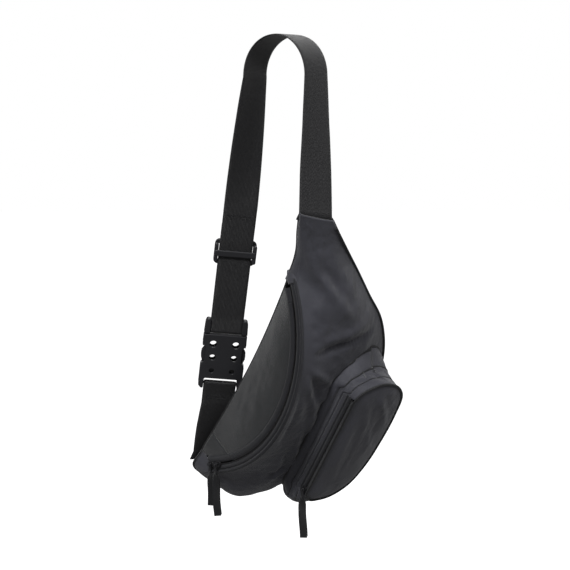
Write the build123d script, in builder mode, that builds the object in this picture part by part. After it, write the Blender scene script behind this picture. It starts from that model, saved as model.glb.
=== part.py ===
"""Sling bag hanging by its webbing strap.

The strap's bend over a display peg is the origin: X and Z span the loop, Y is the width of the
webbing at the bend and +Z is up.  The bag has its own directions: ALONG runs from its lower end to
its upper end, ACROSS points to the side that is on top when the bag is worn, and OUT points from
the wearer's back to the front pocket.  Lengths are millimetres.
"""
import os
from collections import namedtuple
from math import atan2, cos, degrees, hypot, radians, sin, sqrt

from build123d import *

os.makedirs("parts", exist_ok=True)

# ---------------------------------------------------------------- driving dimensions
WEBBING_WIDTH = 38.0
WEBBING_THICK = 1.6
BEND_RADIUS = 42.0          # inside of the strap's half-round bend

BAG_YAW = 12.0              # turn of the bag about the vertical, away from the loop's plane
BAG_LEAN = 36.8             # lean of the bag's long axis from the vertical
UPPER_END = Vector(45.0, -3.0, -149.0)   # middle of the webbing where it meets the upper wing
UPPER_REACH = 176.0         # from the bag's own zero station to that upper end

BACK_THICK = 6.0            # back panel and foam together
FOAM_INSET = 4.5            # width of the edge binding around the foam
PANEL_SKIN = 2.0            # outer fabric with its backing
WALL = 2.0
GAP = 0.4                   # clearance between pieces that move past each other

HINGE_LINE = -22.0          # ACROSS position of the worn-top back edge
LID_TILT = 6.0              # lid's lean from square to the back panel

ZIP_RADIUS = 180.0          # main zip is one circular arc in the lid's plane
ZIP_MIDDLE = -57.0          # ALONG station of the arc's centre
ZIP_CREST = 76.5            # height of the arc's crest above the back edge
ZIP_LOW_ANGLE = -47.2
ZIP_HIGH_ANGLE = 53.5
TAPE_REACH = 9.6            # from the zip's centre line to the edge of each tape
COIL_RADIUS = 0.8
COIL_OFFSET = 1.0
TAPE_THICK = 1.0
WELT_RADIUS = 1.2
WELT_OFFSET = 8.0
RIDGE_REACH = 10.0          # from the zip's centre line to the front panel's ridge

FLAP_LOW = -156.0           # the lid folds open between these stations
FLAP_HIGH = 72.0
FLAP_ROOT = 7.0             # height of the flap's inner edge above the back edge
HEM_GAP = 2.5               # slot between that edge and the hem, where the fabric folds

SLIDER_LENGTH = 9.0
SLIDER_WIDTH = 6.4
SLIDER_HEIGHT = 2.2
POST_RADIUS = 1.25
EYE_RADIUS = 3.2
EYE_CLEARANCE = 0.06
TAB_THICK = 1.4
STRIP_WIDTH = 9.0
STRIP_THICK = 1.4
POCKET_STRIP_LENGTH = 46.0
SLIDER_A_ANGLE = -45.3      # lower slider, parked by the end stop
SLIDER_B_ANGLE = -41.0      # upper slider

PIPING_RADIUS = 1.8
POCKET_FACE = 108.0         # height of the pocket's front above the back panel
POCKET_PIPING = 1.5
POCKET_ZIP_HEIGHT = 102.0
POCKET_SLIDER_STATION = -160.0

RUN_TURN = 45.0             # turn of the left run about the vertical below its twisted stretch
KNEE = Vector(-81.6, 20.1, -143.0)       # the left run is straight from here ...
TAIL = Vector(-140.8, 48.5, -354.7)      # ... through here, beside the buckle's lower bar
TWIST_END = 150.0           # distance down the left run at the knee
TWIST_STEPS = 6
TRI_GLIDE_AT = 208.0        # distances down the left run
PLUG_BAR_AT = 299.0
SOCKET_BAR_AT = 372.5
LAYER_OFFSET = 1.0          # half the distance between the doubled webbing's two layers
PLUG_FLARE = 16.0           # above the plug's bar, where the two layers part to pass round it
SOCKET_FLARE = 14.0         # the same, below the socket's bar
DOUBLED_ABOVE = 34.0        # the webbing's turned-back end reaches this far above the tri-glide
GLIDE_TACK = 44.0           # stitched bar tack, above the tri-glide
SOCKET_TACK = 18.0          # stitched bar tack, below the socket's bar
BAR_RADIUS = 1.5

# ---------------------------------------------------------------- directions and planes
yaw = radians(BAG_YAW)
lean = radians(BAG_LEAN)
ALONG = Vector(sin(lean) * cos(yaw), -sin(lean) * sin(yaw), cos(lean))
ACROSS = Vector(-sin(yaw), -cos(yaw), 0)
OUT = ALONG.cross(ACROSS)
BAG_ZERO = UPPER_END - ALONG * UPPER_REACH + ACROSS * (WEBBING_WIDTH / 2)


def bag_point(along, across, out):
    """A point given in the bag's own directions."""
    return BAG_ZERO + ALONG * along + ACROSS * across + OUT * out


def section_plane(along):
    """Plane square to the long axis: local x is ACROSS, local y is OUT."""
    return Plane(origin=bag_point(along, 0, 0), x_dir=ACROSS, z_dir=ALONG)


def back_plane(out):
    """Plane parallel to the back panel: local x is ALONG, local y is ACROSS."""
    return Plane(origin=bag_point(0, 0, out), x_dir=ALONG, z_dir=OUT)


tilt = radians(LID_TILT)
LID_RISE = OUT * cos(tilt) - ACROSS * sin(tilt)
LID_NORMAL = ACROSS * cos(tilt) + OUT * sin(tilt)
LID_ZERO = bag_point(0, HINGE_LINE, 0)
ZIP_CENTRE = LID_ZERO + ALONG * ZIP_MIDDLE + LID_RISE * (ZIP_CREST - ZIP_RADIUS)
ZIP_AXIS = Axis(ZIP_CENTRE, LID_NORMAL)


def lid_plane(depth):
    """Plane of the lid, depth positive into the bag: local x is ALONG, local y is LID_RISE."""
    return Plane(origin=LID_ZERO - LID_NORMAL * depth, x_dir=ALONG, z_dir=-LID_NORMAL)


def radial_direction(angle):
    return ALONG * sin(radians(angle)) + LID_RISE * cos(radians(angle))


def tangent_direction(angle):
    return ALONG * cos(radians(angle)) - LID_RISE * sin(radians(angle))


def radial_plane(angle):
    """Plane across the zip at one angle: local x is the radius, local y is depth into the bag."""
    return Plane(origin=ZIP_CENTRE, x_dir=radial_direction(angle), z_dir=tangent_direction(angle))


def rise_at(station, radius):
    """Height of a circle about the zip's centre above the back edge, at one station."""
    return sqrt(radius**2 - (station - ZIP_MIDDLE) ** 2) + ZIP_CREST - ZIP_RADIUS


def on_lid(station, rise):
    """ACROSS and OUT of a point of the lid's plane."""
    return (HINGE_LINE - rise * sin(tilt), rise * cos(tilt))


def save(builder, name):
    builder.part.label = name
    export_step(builder.part, "parts/" + name + ".step")


# ---------------------------------------------------------------- body sections
# Each station has the outline of the fabric body as (ACROSS, OUT) corners, from the worn-top edge
# over the front to the piping along the bottom.
Station = namedtuple("Station", "along top ridge middle lower piping")


def pouch_station(along, middle, lower, piping):
    """A station of the zipped part, where the ridge runs beside the zip."""
    ridge = on_lid(along, rise_at(along, ZIP_RADIUS + RIDGE_REACH))
    return Station(along, HINGE_LINE, ridge, middle, lower, piping)


UPPER_WING = [
    Station(176, 0, (-1, 3), (-12, 4), (-26, 4), (-38, 3)),
    Station(150, -9, (-11, 6), (-22, 10), (-42, 11), (-62, 6)),
    Station(128, -17, (-19, 8), (-34, 20), (-60, 22), (-82, 10)),
    Station(104, -21, (-23, 9), (-47, 34), (-80, 36), (-104, 16)),
]
POUCH = [
    UPPER_WING[-1],
    pouch_station(80, (-50, 48), (-92, 50), (-124, 27)),
    pouch_station(50, (-60, 60), (-110, 58), (-152, 34)),
    pouch_station(20, (-66, 68), (-122, 64), (-170, 40)),
    pouch_station(-10, (-70, 73), (-130, 67), (-181, 45)),
    pouch_station(-50, (-72, 76), (-134, 70), (-186, 50)),
    pouch_station(-90, (-72, 76), (-134, 72), (-185, 54)),
    pouch_station(-125, (-70, 73), (-130, 74), (-177, 57)),
    pouch_station(-155, (-66, 68), (-122, 72), (-164, 58)),
    pouch_station(-190, (-54, 60), (-101, 65.5), (-143, 54)),
]
LOWER_WING = [
    POUCH[-1],
    Station(-212, -20, (-26, 16), (-52, 50), (-90, 56), (-126, 44)),
    Station(-230, -40, (-44, 11), (-62, 36), (-84, 38), (-106, 26)),
    Station(-240, -58, (-60, 5), (-70, 14), (-82, 14), (-94, 7)),
]
OUTLINE = UPPER_WING + POUCH[1:] + LOWER_WING[1:]


def inward(points, depth):
    """The same open outline moved into the bag by one wall."""
    moved = []
    for index, (x, y) in enumerate(points):
        before = points[max(index - 1, 0)]
        after = points[min(index + 1, len(points) - 1)]
        run = (after[0] - before[0], after[1] - before[1])
        size = hypot(*run)
        moved.append((x - depth * run[1] / size, y + depth * run[0] / size))
    return moved


def loft_sections(stations, outline_of):
    """Loft straight between the stations' closed outlines, inside the open part builder."""
    sections = []
    for station in stations:
        with BuildSketch(section_plane(station.along)) as section:
            Polygon(*outline_of(station), align=None)
        sections.append(section.sketch)
    loft(sections, ruled=True)


def front_outline(station):
    skin = [station.ridge, station.middle, station.lower, station.piping]
    return skin + inward(skin, PANEL_SKIN)[::-1]


def gusset_outline(station):
    across, out = station.piping
    inner = across + WALL
    return [(across, out - PANEL_SKIN), (across, 0), (inner, 0), (inner, out - PANEL_SKIN - 1)]


def wing_outline(station):
    skin = [station.ridge, station.middle, station.lower, station.piping]
    return [(station.top, 0)] + skin + [(station.piping[0], 0)]


def back_outline(inset):
    """Outline of the back panel as (ALONG, ACROSS) corners, pulled in by inset."""
    upper = [(s.along, s.top - inset) for s in OUTLINE]
    lower = [(s.along, s.piping[0] + inset) for s in reversed(OUTLINE)]
    ends = upper + lower
    low, high = OUTLINE[-1].along + inset, OUTLINE[0].along - inset
    return [(min(max(x, low), high), y) for x, y in ends]


# ---------------------------------------------------------------- back
with BuildPart() as back_panel:
    with BuildSketch(back_plane(-BACK_THICK)):
        Polygon(*back_outline(0), align=None)
    extrude(amount=PANEL_SKIN)
save(back_panel, "back_panel")

with BuildPart() as back_foam_pad:
    with BuildSketch(back_plane(PANEL_SKIN - BACK_THICK)):
        Polygon(*back_outline(FOAM_INSET), align=None)
    extrude(amount=BACK_THICK - PANEL_SKIN)
save(back_foam_pad, "back_foam_pad")

with BuildPart() as back_binding:
    with BuildSketch(back_plane(PANEL_SKIN - BACK_THICK)):
        Polygon(*back_outline(0), align=None)
        Polygon(*back_outline(FOAM_INSET), align=None, mode=Mode.SUBTRACT)
    extrude(amount=BACK_THICK - PANEL_SKIN)
save(back_binding, "back_binding")

# ---------------------------------------------------------------- front, gusset, wings and piping
with BuildPart() as front_panel:
    loft_sections(POUCH, front_outline)
save(front_panel, "front_panel")

with BuildPart() as bottom_gusset:
    loft_sections(POUCH, gusset_outline)
save(bottom_gusset, "bottom_gusset")

with BuildPart() as upper_wing:
    loft_sections(UPPER_WING, wing_outline)
save(upper_wing, "upper_wing")

with BuildPart() as lower_wing:
    loft_sections(LOWER_WING, wing_outline)
save(lower_wing, "lower_wing")


def piping_outline(station):
    """Small hexagon just outside the bottom corner."""
    across, out = station.piping
    centre = (across - PIPING_RADIUS, out)
    turns = [radians(60 * k) for k in range(6)]
    return [(centre[0] + PIPING_RADIUS * cos(t), centre[1] + PIPING_RADIUS * sin(t)) for t in turns]


with BuildPart() as main_piping:
    loft_sections([s for s in OUTLINE if -215 < s.along < 160], piping_outline)
save(main_piping, "main_piping")


# ---------------------------------------------------------------- lid
def lid_crescent(low, high, root, radius):
    """Draw the lid's outline between two stations, from a straight root to the zip's arc."""
    left = (low, rise_at(low, radius))
    crest = (ZIP_MIDDLE, ZIP_CREST - ZIP_RADIUS + radius)
    right = (high, rise_at(high, radius))
    with BuildLine() as outline:
        Line((low, root), left)
        ThreePointArc(left, crest, right)
        Line(right, (high, root))
        Line((high, root), (low, root))
    make_face(outline.edges())


LID_EDGE = ZIP_RADIUS - 2.0
HEM_ROOT = 0.6              # height of the hem's lower edge above the back panel
LID_LOW = -187.0
LID_HIGH = 86.0

with BuildPart() as lid_panel:
    with BuildSketch(lid_plane(0)):
        lid_crescent(FLAP_LOW, FLAP_HIGH, FLAP_ROOT, LID_EDGE)
    extrude(amount=WALL)
save(lid_panel, "lid_panel")

with BuildPart() as lid_hem:
    with BuildSketch(lid_plane(0)):
        lid_crescent(LID_LOW, LID_HIGH, HEM_ROOT, LID_EDGE)
        Polygon(
            (FLAP_LOW - GAP, FLAP_ROOT - HEM_GAP),
            (FLAP_HIGH + GAP, FLAP_ROOT - HEM_GAP),
            (FLAP_HIGH + GAP, ZIP_CREST + RIDGE_REACH),
            (FLAP_LOW - GAP, ZIP_CREST + RIDGE_REACH),
            align=None,
            mode=Mode.SUBTRACT,
        )
    extrude(amount=WALL)
save(lid_hem, "lid_hem")


# ---------------------------------------------------------------- main zip
def angle_at(station, radius):
    rise = rise_at(station, radius) - ZIP_CREST + ZIP_RADIUS
    return degrees(atan2(station - ZIP_MIDDLE, rise))


def zip_band(inner, outer, low, high):
    """Draw a band of the zip between two radii and two angles, on a lid plane."""
    start = 90 - high
    sweep_angle = high - low
    centre = (ZIP_MIDDLE, ZIP_CREST - ZIP_RADIUS)
    with BuildLine() as outline:
        inside = CenterArc(centre, inner, start, sweep_angle)
        outside = CenterArc(centre, outer, start, sweep_angle)
        Line(inside @ 0, outside @ 0)
        Line(inside @ 1, outside @ 1)
    make_face(outline.edges())


def zip_cord(offset, radius, depth, low, high):
    """Revolve a round cord along the zip, inside the open part builder."""
    with BuildSketch(radial_plane(low)) as section:
        with Locations((ZIP_RADIUS + offset, depth)):
            Circle(radius)
    revolve(section.sketch, axis=ZIP_AXIS, revolution_arc=high - low)


FLAP_LOW_ANGLE = angle_at(FLAP_LOW, ZIP_RADIUS) + 0.15
FLAP_HIGH_ANGLE = angle_at(FLAP_HIGH, ZIP_RADIUS) - 0.15
COIL_INNER = COIL_OFFSET + COIL_RADIUS + 0.1

with BuildPart() as main_zip_tape_front:
    with BuildSketch(lid_plane(-TAPE_THICK)):
        zip_band(ZIP_RADIUS + COIL_INNER, ZIP_RADIUS + TAPE_REACH, ZIP_LOW_ANGLE, ZIP_HIGH_ANGLE)
    extrude(amount=TAPE_THICK)
save(main_zip_tape_front, "main_zip_tape_front")

with BuildPart() as main_zip_tape_lid:
    with BuildSketch(lid_plane(-TAPE_THICK)):
        low, high = FLAP_LOW_ANGLE + 0.5, FLAP_HIGH_ANGLE - 0.5
        zip_band(ZIP_RADIUS - TAPE_REACH, ZIP_RADIUS - COIL_INNER, low, high)
    extrude(amount=TAPE_THICK)
save(main_zip_tape_lid, "main_zip_tape_lid")

with BuildPart() as main_zip_coil_front:
    zip_cord(COIL_OFFSET, COIL_RADIUS, -COIL_RADIUS, ZIP_LOW_ANGLE, ZIP_HIGH_ANGLE)
save(main_zip_coil_front, "main_zip_coil_front")

with BuildPart() as main_zip_coil_lid:
    zip_cord(-COIL_OFFSET, COIL_RADIUS, -COIL_RADIUS, FLAP_LOW_ANGLE, FLAP_HIGH_ANGLE)
save(main_zip_coil_lid, "main_zip_coil_lid")

with BuildPart() as front_zip_welt:
    zip_cord(WELT_OFFSET, WELT_RADIUS, -TAPE_THICK - WELT_RADIUS, ZIP_LOW_ANGLE, ZIP_HIGH_ANGLE)
save(front_zip_welt, "front_zip_welt")

with BuildPart() as lid_zip_welt:
    low, high = FLAP_LOW_ANGLE + 0.6, FLAP_HIGH_ANGLE - 0.6
    zip_cord(-WELT_OFFSET, WELT_RADIUS, -TAPE_THICK - WELT_RADIUS, low, high)
save(lid_zip_welt, "lid_zip_welt")

# The fixed ends start where even their inner corners are clear of the lid as it folds.
END_LOW_ANGLE = angle_at(FLAP_LOW, ZIP_RADIUS - TAPE_REACH) - 0.3
END_HIGH_ANGLE = angle_at(FLAP_HIGH, ZIP_RADIUS - TAPE_REACH) + 0.3
with BuildPart() as main_zip_ends:
    for low, high in ((ZIP_LOW_ANGLE, END_LOW_ANGLE), (END_HIGH_ANGLE, ZIP_HIGH_ANGLE)):
        with BuildSketch(lid_plane(-TAPE_THICK)):
            zip_band(ZIP_RADIUS - TAPE_REACH, ZIP_RADIUS - GAP, low, high)
        extrude(amount=TAPE_THICK)
save(main_zip_ends, "main_zip_ends")


# ---------------------------------------------------------------- sliders, pullers and pull strips
HANG = Vector(0, 0, -1)


def slider_frame(point, normal, travel):
    """Plane on the tape under a slider: local x is its travel, local z points off the tape."""
    return Plane(origin=point, x_dir=travel, z_dir=normal)


def make_slider(frame, post_height):
    """Slider body with rounded ends, its post and the post's head."""
    lift = TAPE_THICK + COIL_RADIUS + GAP
    with BuildPart() as slider:
        with BuildSketch(frame.offset(lift)):
            SlotOverall(SLIDER_LENGTH, SLIDER_WIDTH)
        extrude(amount=SLIDER_HEIGHT)
        with BuildSketch(frame.offset(lift + SLIDER_HEIGHT)):
            Circle(POST_RADIUS)
        extrude(amount=post_height)
        with BuildSketch(frame.offset(lift + SLIDER_HEIGHT + post_height)):
            Circle(POST_RADIUS + 1.1)
        extrude(amount=0.8)
    return slider


def hanging_frame(frame):
    """The slider's plane turned so that local x points straight down in that plane."""
    down = HANG - frame.z_dir * HANG.dot(frame.z_dir)
    return Plane(origin=frame.origin, x_dir=down, z_dir=frame.z_dir)


def make_puller(frame, height):
    """Flat metal tab with a round eye on the slider's post and a bar for the fabric strip."""
    with BuildPart() as puller:
        with BuildSketch(hanging_frame(frame).offset(height)):
            Circle(EYE_RADIUS)
            with Locations((6.5, 0)):
                RectangleRounded(10, 4.4, 1.2)
            Circle(POST_RADIUS + EYE_CLEARANCE, mode=Mode.SUBTRACT)
        extrude(amount=TAB_THICK)
    return puller


def make_strip(frame, height, length):
    """Doubled fabric strip tied through the puller's far end."""
    with BuildPart() as strip:
        with BuildSketch(hanging_frame(frame).offset(height)):
            with Locations((12 + length / 2, 0)):
                RectangleRounded(length, STRIP_WIDTH, 1.5)
        extrude(amount=STRIP_THICK)
    return strip


LIFT = TAPE_THICK + COIL_RADIUS + GAP + SLIDER_HEIGHT


def main_slider_frame(angle):
    point = ZIP_CENTRE + radial_direction(angle) * ZIP_RADIUS
    return slider_frame(point, LID_NORMAL, tangent_direction(angle))


# The upper slider's puller hangs clear of the lower one's, on a taller post.
MAIN_SLIDERS = (
    ("a", SLIDER_A_ANGLE, LIFT + 0.5, 38.0),
    ("b", SLIDER_B_ANGLE, LIFT + 2.9, 50.0),
)
for letter, angle, height, length in MAIN_SLIDERS:
    frame = main_slider_frame(angle)
    save(make_slider(frame, height - LIFT + TAB_THICK + 0.5), "main_slider_" + letter)
    save(make_puller(frame, height), "main_puller_" + letter)
    save(make_strip(frame, height, length), "main_pull_strip_" + letter)

# ---------------------------------------------------------------- front pocket
POCKET_EDGE_LOW = (-165.0, -102.0)
POCKET_EDGE_HIGH = (-8.0, -96.0)
FACE_OUTLINE = [
    (-176, -112), POCKET_EDGE_LOW, POCKET_EDGE_HIGH, (4, -103), (14, -124), (9, -150),
    (-10, -169), (-60, -175), (-120, -174), (-158, -164), (-176, -141),
]
EDGE_SLOPE = (POCKET_EDGE_HIGH[1] - POCKET_EDGE_LOW[1]) / (POCKET_EDGE_HIGH[0] - POCKET_EDGE_LOW[0])
BASE_LOW = (-192.0, POCKET_EDGE_LOW[1] - 27.0 * EDGE_SLOPE)
BASE_OUTLINE = [
    (-203, -114), BASE_LOW, POCKET_EDGE_HIGH, (7, -103), (24, -124), (22, -150),
    (0, -170), (-60, -175), (-122, -173), (-170, -163), (-198, -141),
]
POCKET_BASE = 40.0
GUSSET_TOP = 104.6
FACE_BACK = POCKET_FACE - WALL


def shrink(points, amount):
    """A closed clockwise outline pulled in by amount at every corner."""
    moved = []
    for index, (x, y) in enumerate(points):
        before = points[index - 1]
        after = points[(index + 1) % len(points)]
        run = (after[0] - before[0], after[1] - before[1])
        size = hypot(*run)
        moved.append((x + amount * run[1] / size, y - amount * run[0] / size))
    return moved


def pocket_outline_at(out, amount):
    """Pocket outline between its base and its face, pulled in by amount."""
    part = (out - POCKET_BASE) / (POCKET_FACE - POCKET_BASE)
    mixed = []
    for base, face in zip(BASE_OUTLINE, FACE_OUTLINE):
        mixed.append((base[0] + (face[0] - base[0]) * part, base[1] + (face[1] - base[1]) * part))
    return shrink(mixed, amount)


def pocket_loft(amount, low, high, mode=Mode.ADD):
    sections = []
    for out in (low, high):
        with BuildSketch(back_plane(out)) as section:
            Polygon(*pocket_outline_at(out, amount), align=None)
        sections.append(section.sketch)
    loft(sections, ruled=True, mode=mode)


PIPING_BITE = 0.5           # the envelope's bottom corner lies this far inside the piping


def envelope_outline(station):
    across, out = station.piping
    corner = across - PIPING_BITE
    return [(HINGE_LINE, -1), station.ridge, station.middle, station.lower, (corner, out), (corner, -1)]


with BuildPart() as body_envelope:
    loft_sections(POUCH + LOWER_WING[1:3], envelope_outline)

edge_run = Vector(POCKET_EDGE_HIGH[0] - POCKET_EDGE_LOW[0], POCKET_EDGE_HIGH[1] - POCKET_EDGE_LOW[1], 0)
edge_unit = edge_run.normalized()
POCKET_TRAVEL = ALONG * edge_unit.X + ACROSS * edge_unit.Y
POCKET_NORMAL = OUT.cross(POCKET_TRAVEL)
POCKET_EDGE = bag_point(POCKET_EDGE_LOW[0], POCKET_EDGE_LOW[1], 0)


def side_plane(depth):
    """Plane of the pocket's zipped side, depth positive into it: local x is the zip's run."""
    return Plane(origin=POCKET_EDGE - POCKET_NORMAL * depth, x_dir=POCKET_TRAVEL, z_dir=-POCKET_NORMAL)


def side_box(start, end, low, high):
    """Draw a rectangle on the zipped side, given along the zip and by height above the back."""
    Polygon((start, low), (end, low), (end, high), (start, high), align=None)


EDGE_LENGTH = edge_run.length
ZIP_START = 2.0
ZIP_END = EDGE_LENGTH - 2.0
SIDE_TAPE_LOW = 94.0

with BuildPart() as pocket_gusset:
    pocket_loft(0, POCKET_BASE, GUSSET_TOP)
    pocket_loft(WALL, POCKET_BASE - 1, GUSSET_TOP + 1, mode=Mode.SUBTRACT)
    add(body_envelope.part, mode=Mode.SUBTRACT)
    add(main_piping.part, mode=Mode.SUBTRACT)
    with BuildSketch(side_plane(-3)):
        side_box(ZIP_START - 0.5, ZIP_END + 0.5, SIDE_TAPE_LOW, GUSSET_TOP + 4)
    extrude(amount=9, mode=Mode.SUBTRACT)
save(pocket_gusset, "pocket_gusset")

with BuildPart() as pocket_front_panel:
    pocket_loft(0, FACE_BACK, POCKET_FACE)
save(pocket_front_panel, "pocket_front_panel")

with BuildPart() as pocket_piping:
    with BuildSketch(back_plane(FACE_BACK)):
        Polygon(*pocket_outline_at(POCKET_FACE, -2 * POCKET_PIPING), align=None)
        Polygon(*pocket_outline_at(FACE_BACK, -0.05), align=None, mode=Mode.SUBTRACT)
    extrude(amount=2 * POCKET_PIPING)
save(pocket_piping, "pocket_piping")

COIL_ROOM = COIL_OFFSET + COIL_RADIUS

with BuildPart() as pocket_zip_tape_gusset:
    with BuildSketch(side_plane(0)):
        side_box(ZIP_START, ZIP_END, SIDE_TAPE_LOW, POCKET_ZIP_HEIGHT - COIL_ROOM)
    extrude(amount=TAPE_THICK)
save(pocket_zip_tape_gusset, "pocket_zip_tape_gusset")

with BuildPart() as pocket_zip_tape_face:
    with BuildSketch(side_plane(0)):
        side_box(ZIP_START + 1, ZIP_END - 1, POCKET_ZIP_HEIGHT + COIL_ROOM, FACE_BACK)
    extrude(amount=TAPE_THICK)
save(pocket_zip_tape_face, "pocket_zip_tape_face")


def side_cord(height, start, end, radius):
    """Straight round cord along the pocket's zip, let into the tape's outer face."""
    origin = POCKET_EDGE + POCKET_TRAVEL * start + OUT * height - POCKET_NORMAL * (TAPE_THICK - radius)
    with BuildSketch(Plane(origin=origin, x_dir=OUT, z_dir=POCKET_TRAVEL)) as section:
        Circle(radius)
    extrude(section.sketch, amount=end - start)


with BuildPart() as pocket_zip_coil_gusset:
    side_cord(POCKET_ZIP_HEIGHT - COIL_OFFSET, ZIP_START, ZIP_END, COIL_RADIUS)
save(pocket_zip_coil_gusset, "pocket_zip_coil_gusset")

with BuildPart() as pocket_zip_coil_face:
    side_cord(POCKET_ZIP_HEIGHT + COIL_OFFSET, ZIP_START + 1, ZIP_END - 1, COIL_RADIUS)
save(pocket_zip_coil_face, "pocket_zip_coil_face")

slide_start = (POCKET_SLIDER_STATION - POCKET_EDGE_LOW[0]) / edge_unit.X
pocket_point = POCKET_EDGE + POCKET_TRAVEL * slide_start + OUT * POCKET_ZIP_HEIGHT
pocket_slider_frame = slider_frame(pocket_point - POCKET_NORMAL * TAPE_THICK, POCKET_NORMAL, POCKET_TRAVEL)
PULL_HEIGHT = LIFT + 1.0
save(make_slider(pocket_slider_frame, 1.0 + TAB_THICK + 0.5), "pocket_slider")
save(make_puller(pocket_slider_frame, PULL_HEIGHT), "pocket_puller")
save(make_strip(pocket_slider_frame, PULL_HEIGHT, POCKET_STRIP_LENGTH), "pocket_pull_strip")

# ---------------------------------------------------------------- strap
LEFT_TOP = Vector(-BEND_RADIUS - WEBBING_THICK / 2, 0, 0)
RIGHT_TOP = Vector(BEND_RADIUS + WEBBING_THICK / 2, 0, 0)
RUN = (TAIL - KNEE).normalized()
RUN_START = KNEE - RUN * TWIST_END


def turned(angle, run):
    """Direction of the webbing's width, turned about the vertical and square to its run."""
    width = Vector(sin(radians(angle)), cos(radians(angle)), 0)
    return (width - run * width.dot(run)).normalized()


def webbing_section(origin, run, width, thick=WEBBING_THICK):
    """The webbing's cross-section, square to its run."""
    with BuildSketch(Plane(origin=origin, x_dir=width, z_dir=run)) as section:
        Rectangle(WEBBING_WIDTH, thick)
    return section.sketch


with BuildPart() as strap_bend:
    with BuildSketch(Plane(origin=RIGHT_TOP, x_dir=(1, 0, 0), z_dir=(0, 0, 1))):
        Rectangle(WEBBING_THICK, WEBBING_WIDTH)
    revolve(axis=Axis((0, 0, 0), (0, -1, 0)), revolution_arc=180)
save(strap_bend, "strap_bend")

RIGHT_END = bag_point(UPPER_REACH, -WEBBING_WIDTH / 2, -1.5)
right_run = (RIGHT_END - RIGHT_TOP).normalized()
with BuildPart() as strap_right_run:
    sections = [webbing_section(RIGHT_TOP, HANG, Vector(0, 1, 0))]
    for part, angle in ((0.35, 5), (0.7, 9)):
        at = RIGHT_TOP + (RIGHT_END - RIGHT_TOP) * part
        sections.append(webbing_section(at, right_run, turned(angle, right_run)))
    sections.append(webbing_section(RIGHT_END, -ALONG, -ACROSS))
    loft(sections, ruled=True)
save(strap_right_run, "strap_right_run")

run_width = turned(RUN_TURN, RUN)
run_face = run_width.cross(RUN * -1)


def run_plane():
    """Lengthwise plane of the straight left run: local x is down the run, local y is outward."""
    return Plane(origin=RUN_START, x_dir=RUN, z_dir=run_width * -1)


def run_front(distance, height):
    """Plane facing outward on the left run: local x is its width, local y is up the run."""
    return Plane(origin=RUN_START + RUN * distance + run_face * height, x_dir=run_width, z_dir=run_face)


with BuildPart() as strap_left_run:
    sections = [webbing_section(LEFT_TOP, HANG, Vector(0, 1, 0))]
    for step in range(1, TWIST_STEPS + 1):
        part = step / TWIST_STEPS
        at = LEFT_TOP + (KNEE - LEFT_TOP) * part + run_face * (LAYER_OFFSET * part)
        sections.append(webbing_section(at, RUN, turned(RUN_TURN * part, RUN)))
    loft(sections, ruled=True)
save(strap_left_run, "strap_left_run")

BAR_LAYER = BAR_RADIUS + 0.2 + WEBBING_THICK / 2
with BuildPart() as strap_plug_loop:
    with BuildSketch(run_plane()):
        with BuildLine() as path:
            Line((TWIST_END, LAYER_OFFSET), (PLUG_BAR_AT - PLUG_FLARE, LAYER_OFFSET))
            Line((PLUG_BAR_AT - PLUG_FLARE, LAYER_OFFSET), (PLUG_BAR_AT, BAR_LAYER))
            CenterArc((PLUG_BAR_AT, 0), BAR_LAYER, -90, 180)
            Line((PLUG_BAR_AT, -BAR_LAYER), (PLUG_BAR_AT - PLUG_FLARE, -LAYER_OFFSET))
            Line((PLUG_BAR_AT - PLUG_FLARE, -LAYER_OFFSET), (TRI_GLIDE_AT - DOUBLED_ABOVE, -LAYER_OFFSET))
        trace(line_width=WEBBING_THICK)
    extrude(amount=WEBBING_WIDTH / 2, both=True)
save(strap_plug_loop, "strap_plug_loop")

TAB_LENGTH = 26.0
with BuildPart() as strap_socket_loop:
    with BuildSketch(run_plane()):
        with BuildLine() as tab_path:
            end = SOCKET_BAR_AT + TAB_LENGTH
            Line((end, LAYER_OFFSET), (SOCKET_BAR_AT + SOCKET_FLARE, LAYER_OFFSET))
            Line((SOCKET_BAR_AT + SOCKET_FLARE, LAYER_OFFSET), (SOCKET_BAR_AT, BAR_LAYER))
            CenterArc((SOCKET_BAR_AT, 0), BAR_LAYER, 90, 180)
            Line((SOCKET_BAR_AT, -BAR_LAYER), (SOCKET_BAR_AT + SOCKET_FLARE, -LAYER_OFFSET))
            Line((SOCKET_BAR_AT + SOCKET_FLARE, -LAYER_OFFSET), (end, -LAYER_OFFSET))
        trace(line_width=WEBBING_THICK)
    extrude(amount=WEBBING_WIDTH / 2, both=True)
save(strap_socket_loop, "strap_socket_loop")

TAB_SEAM = -194.0           # station where the tab meets the back of the bag
TAB_MIDDLE = -36.0
tab_start = RUN_START + RUN * (SOCKET_BAR_AT + TAB_LENGTH)
tab_end = bag_point(TAB_SEAM, TAB_MIDDLE, -BACK_THICK - WEBBING_THICK)
with BuildPart() as strap_lower_tab:
    sections = [webbing_section(tab_start, RUN, run_width, 2 * WEBBING_THICK)]
    halfway = tab_start + (tab_end - tab_start) * 0.5
    sections.append(webbing_section(halfway, RUN, turned(34, RUN), 2 * WEBBING_THICK))
    for along in (TAB_SEAM, TAB_SEAM - 14):
        at = bag_point(along, TAB_MIDDLE, -BACK_THICK - WEBBING_THICK / 2)
        sections.append(webbing_section(at, -ALONG, -ACROSS))
    loft(sections, ruled=True)
save(strap_lower_tab, "strap_lower_tab")

with BuildPart() as strap_bar_tacks:
    for distance in (TRI_GLIDE_AT - GLIDE_TACK, SOCKET_BAR_AT + SOCKET_TACK):
        with BuildSketch(run_front(distance, LAYER_OFFSET + WEBBING_THICK / 2)):
            for row in (-1, 1):
                with Locations((0, 2.2 * row)):
                    Rectangle(32, 1.6)
        extrude(amount=0.5)
save(strap_bar_tacks, "strap_bar_tacks")

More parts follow.
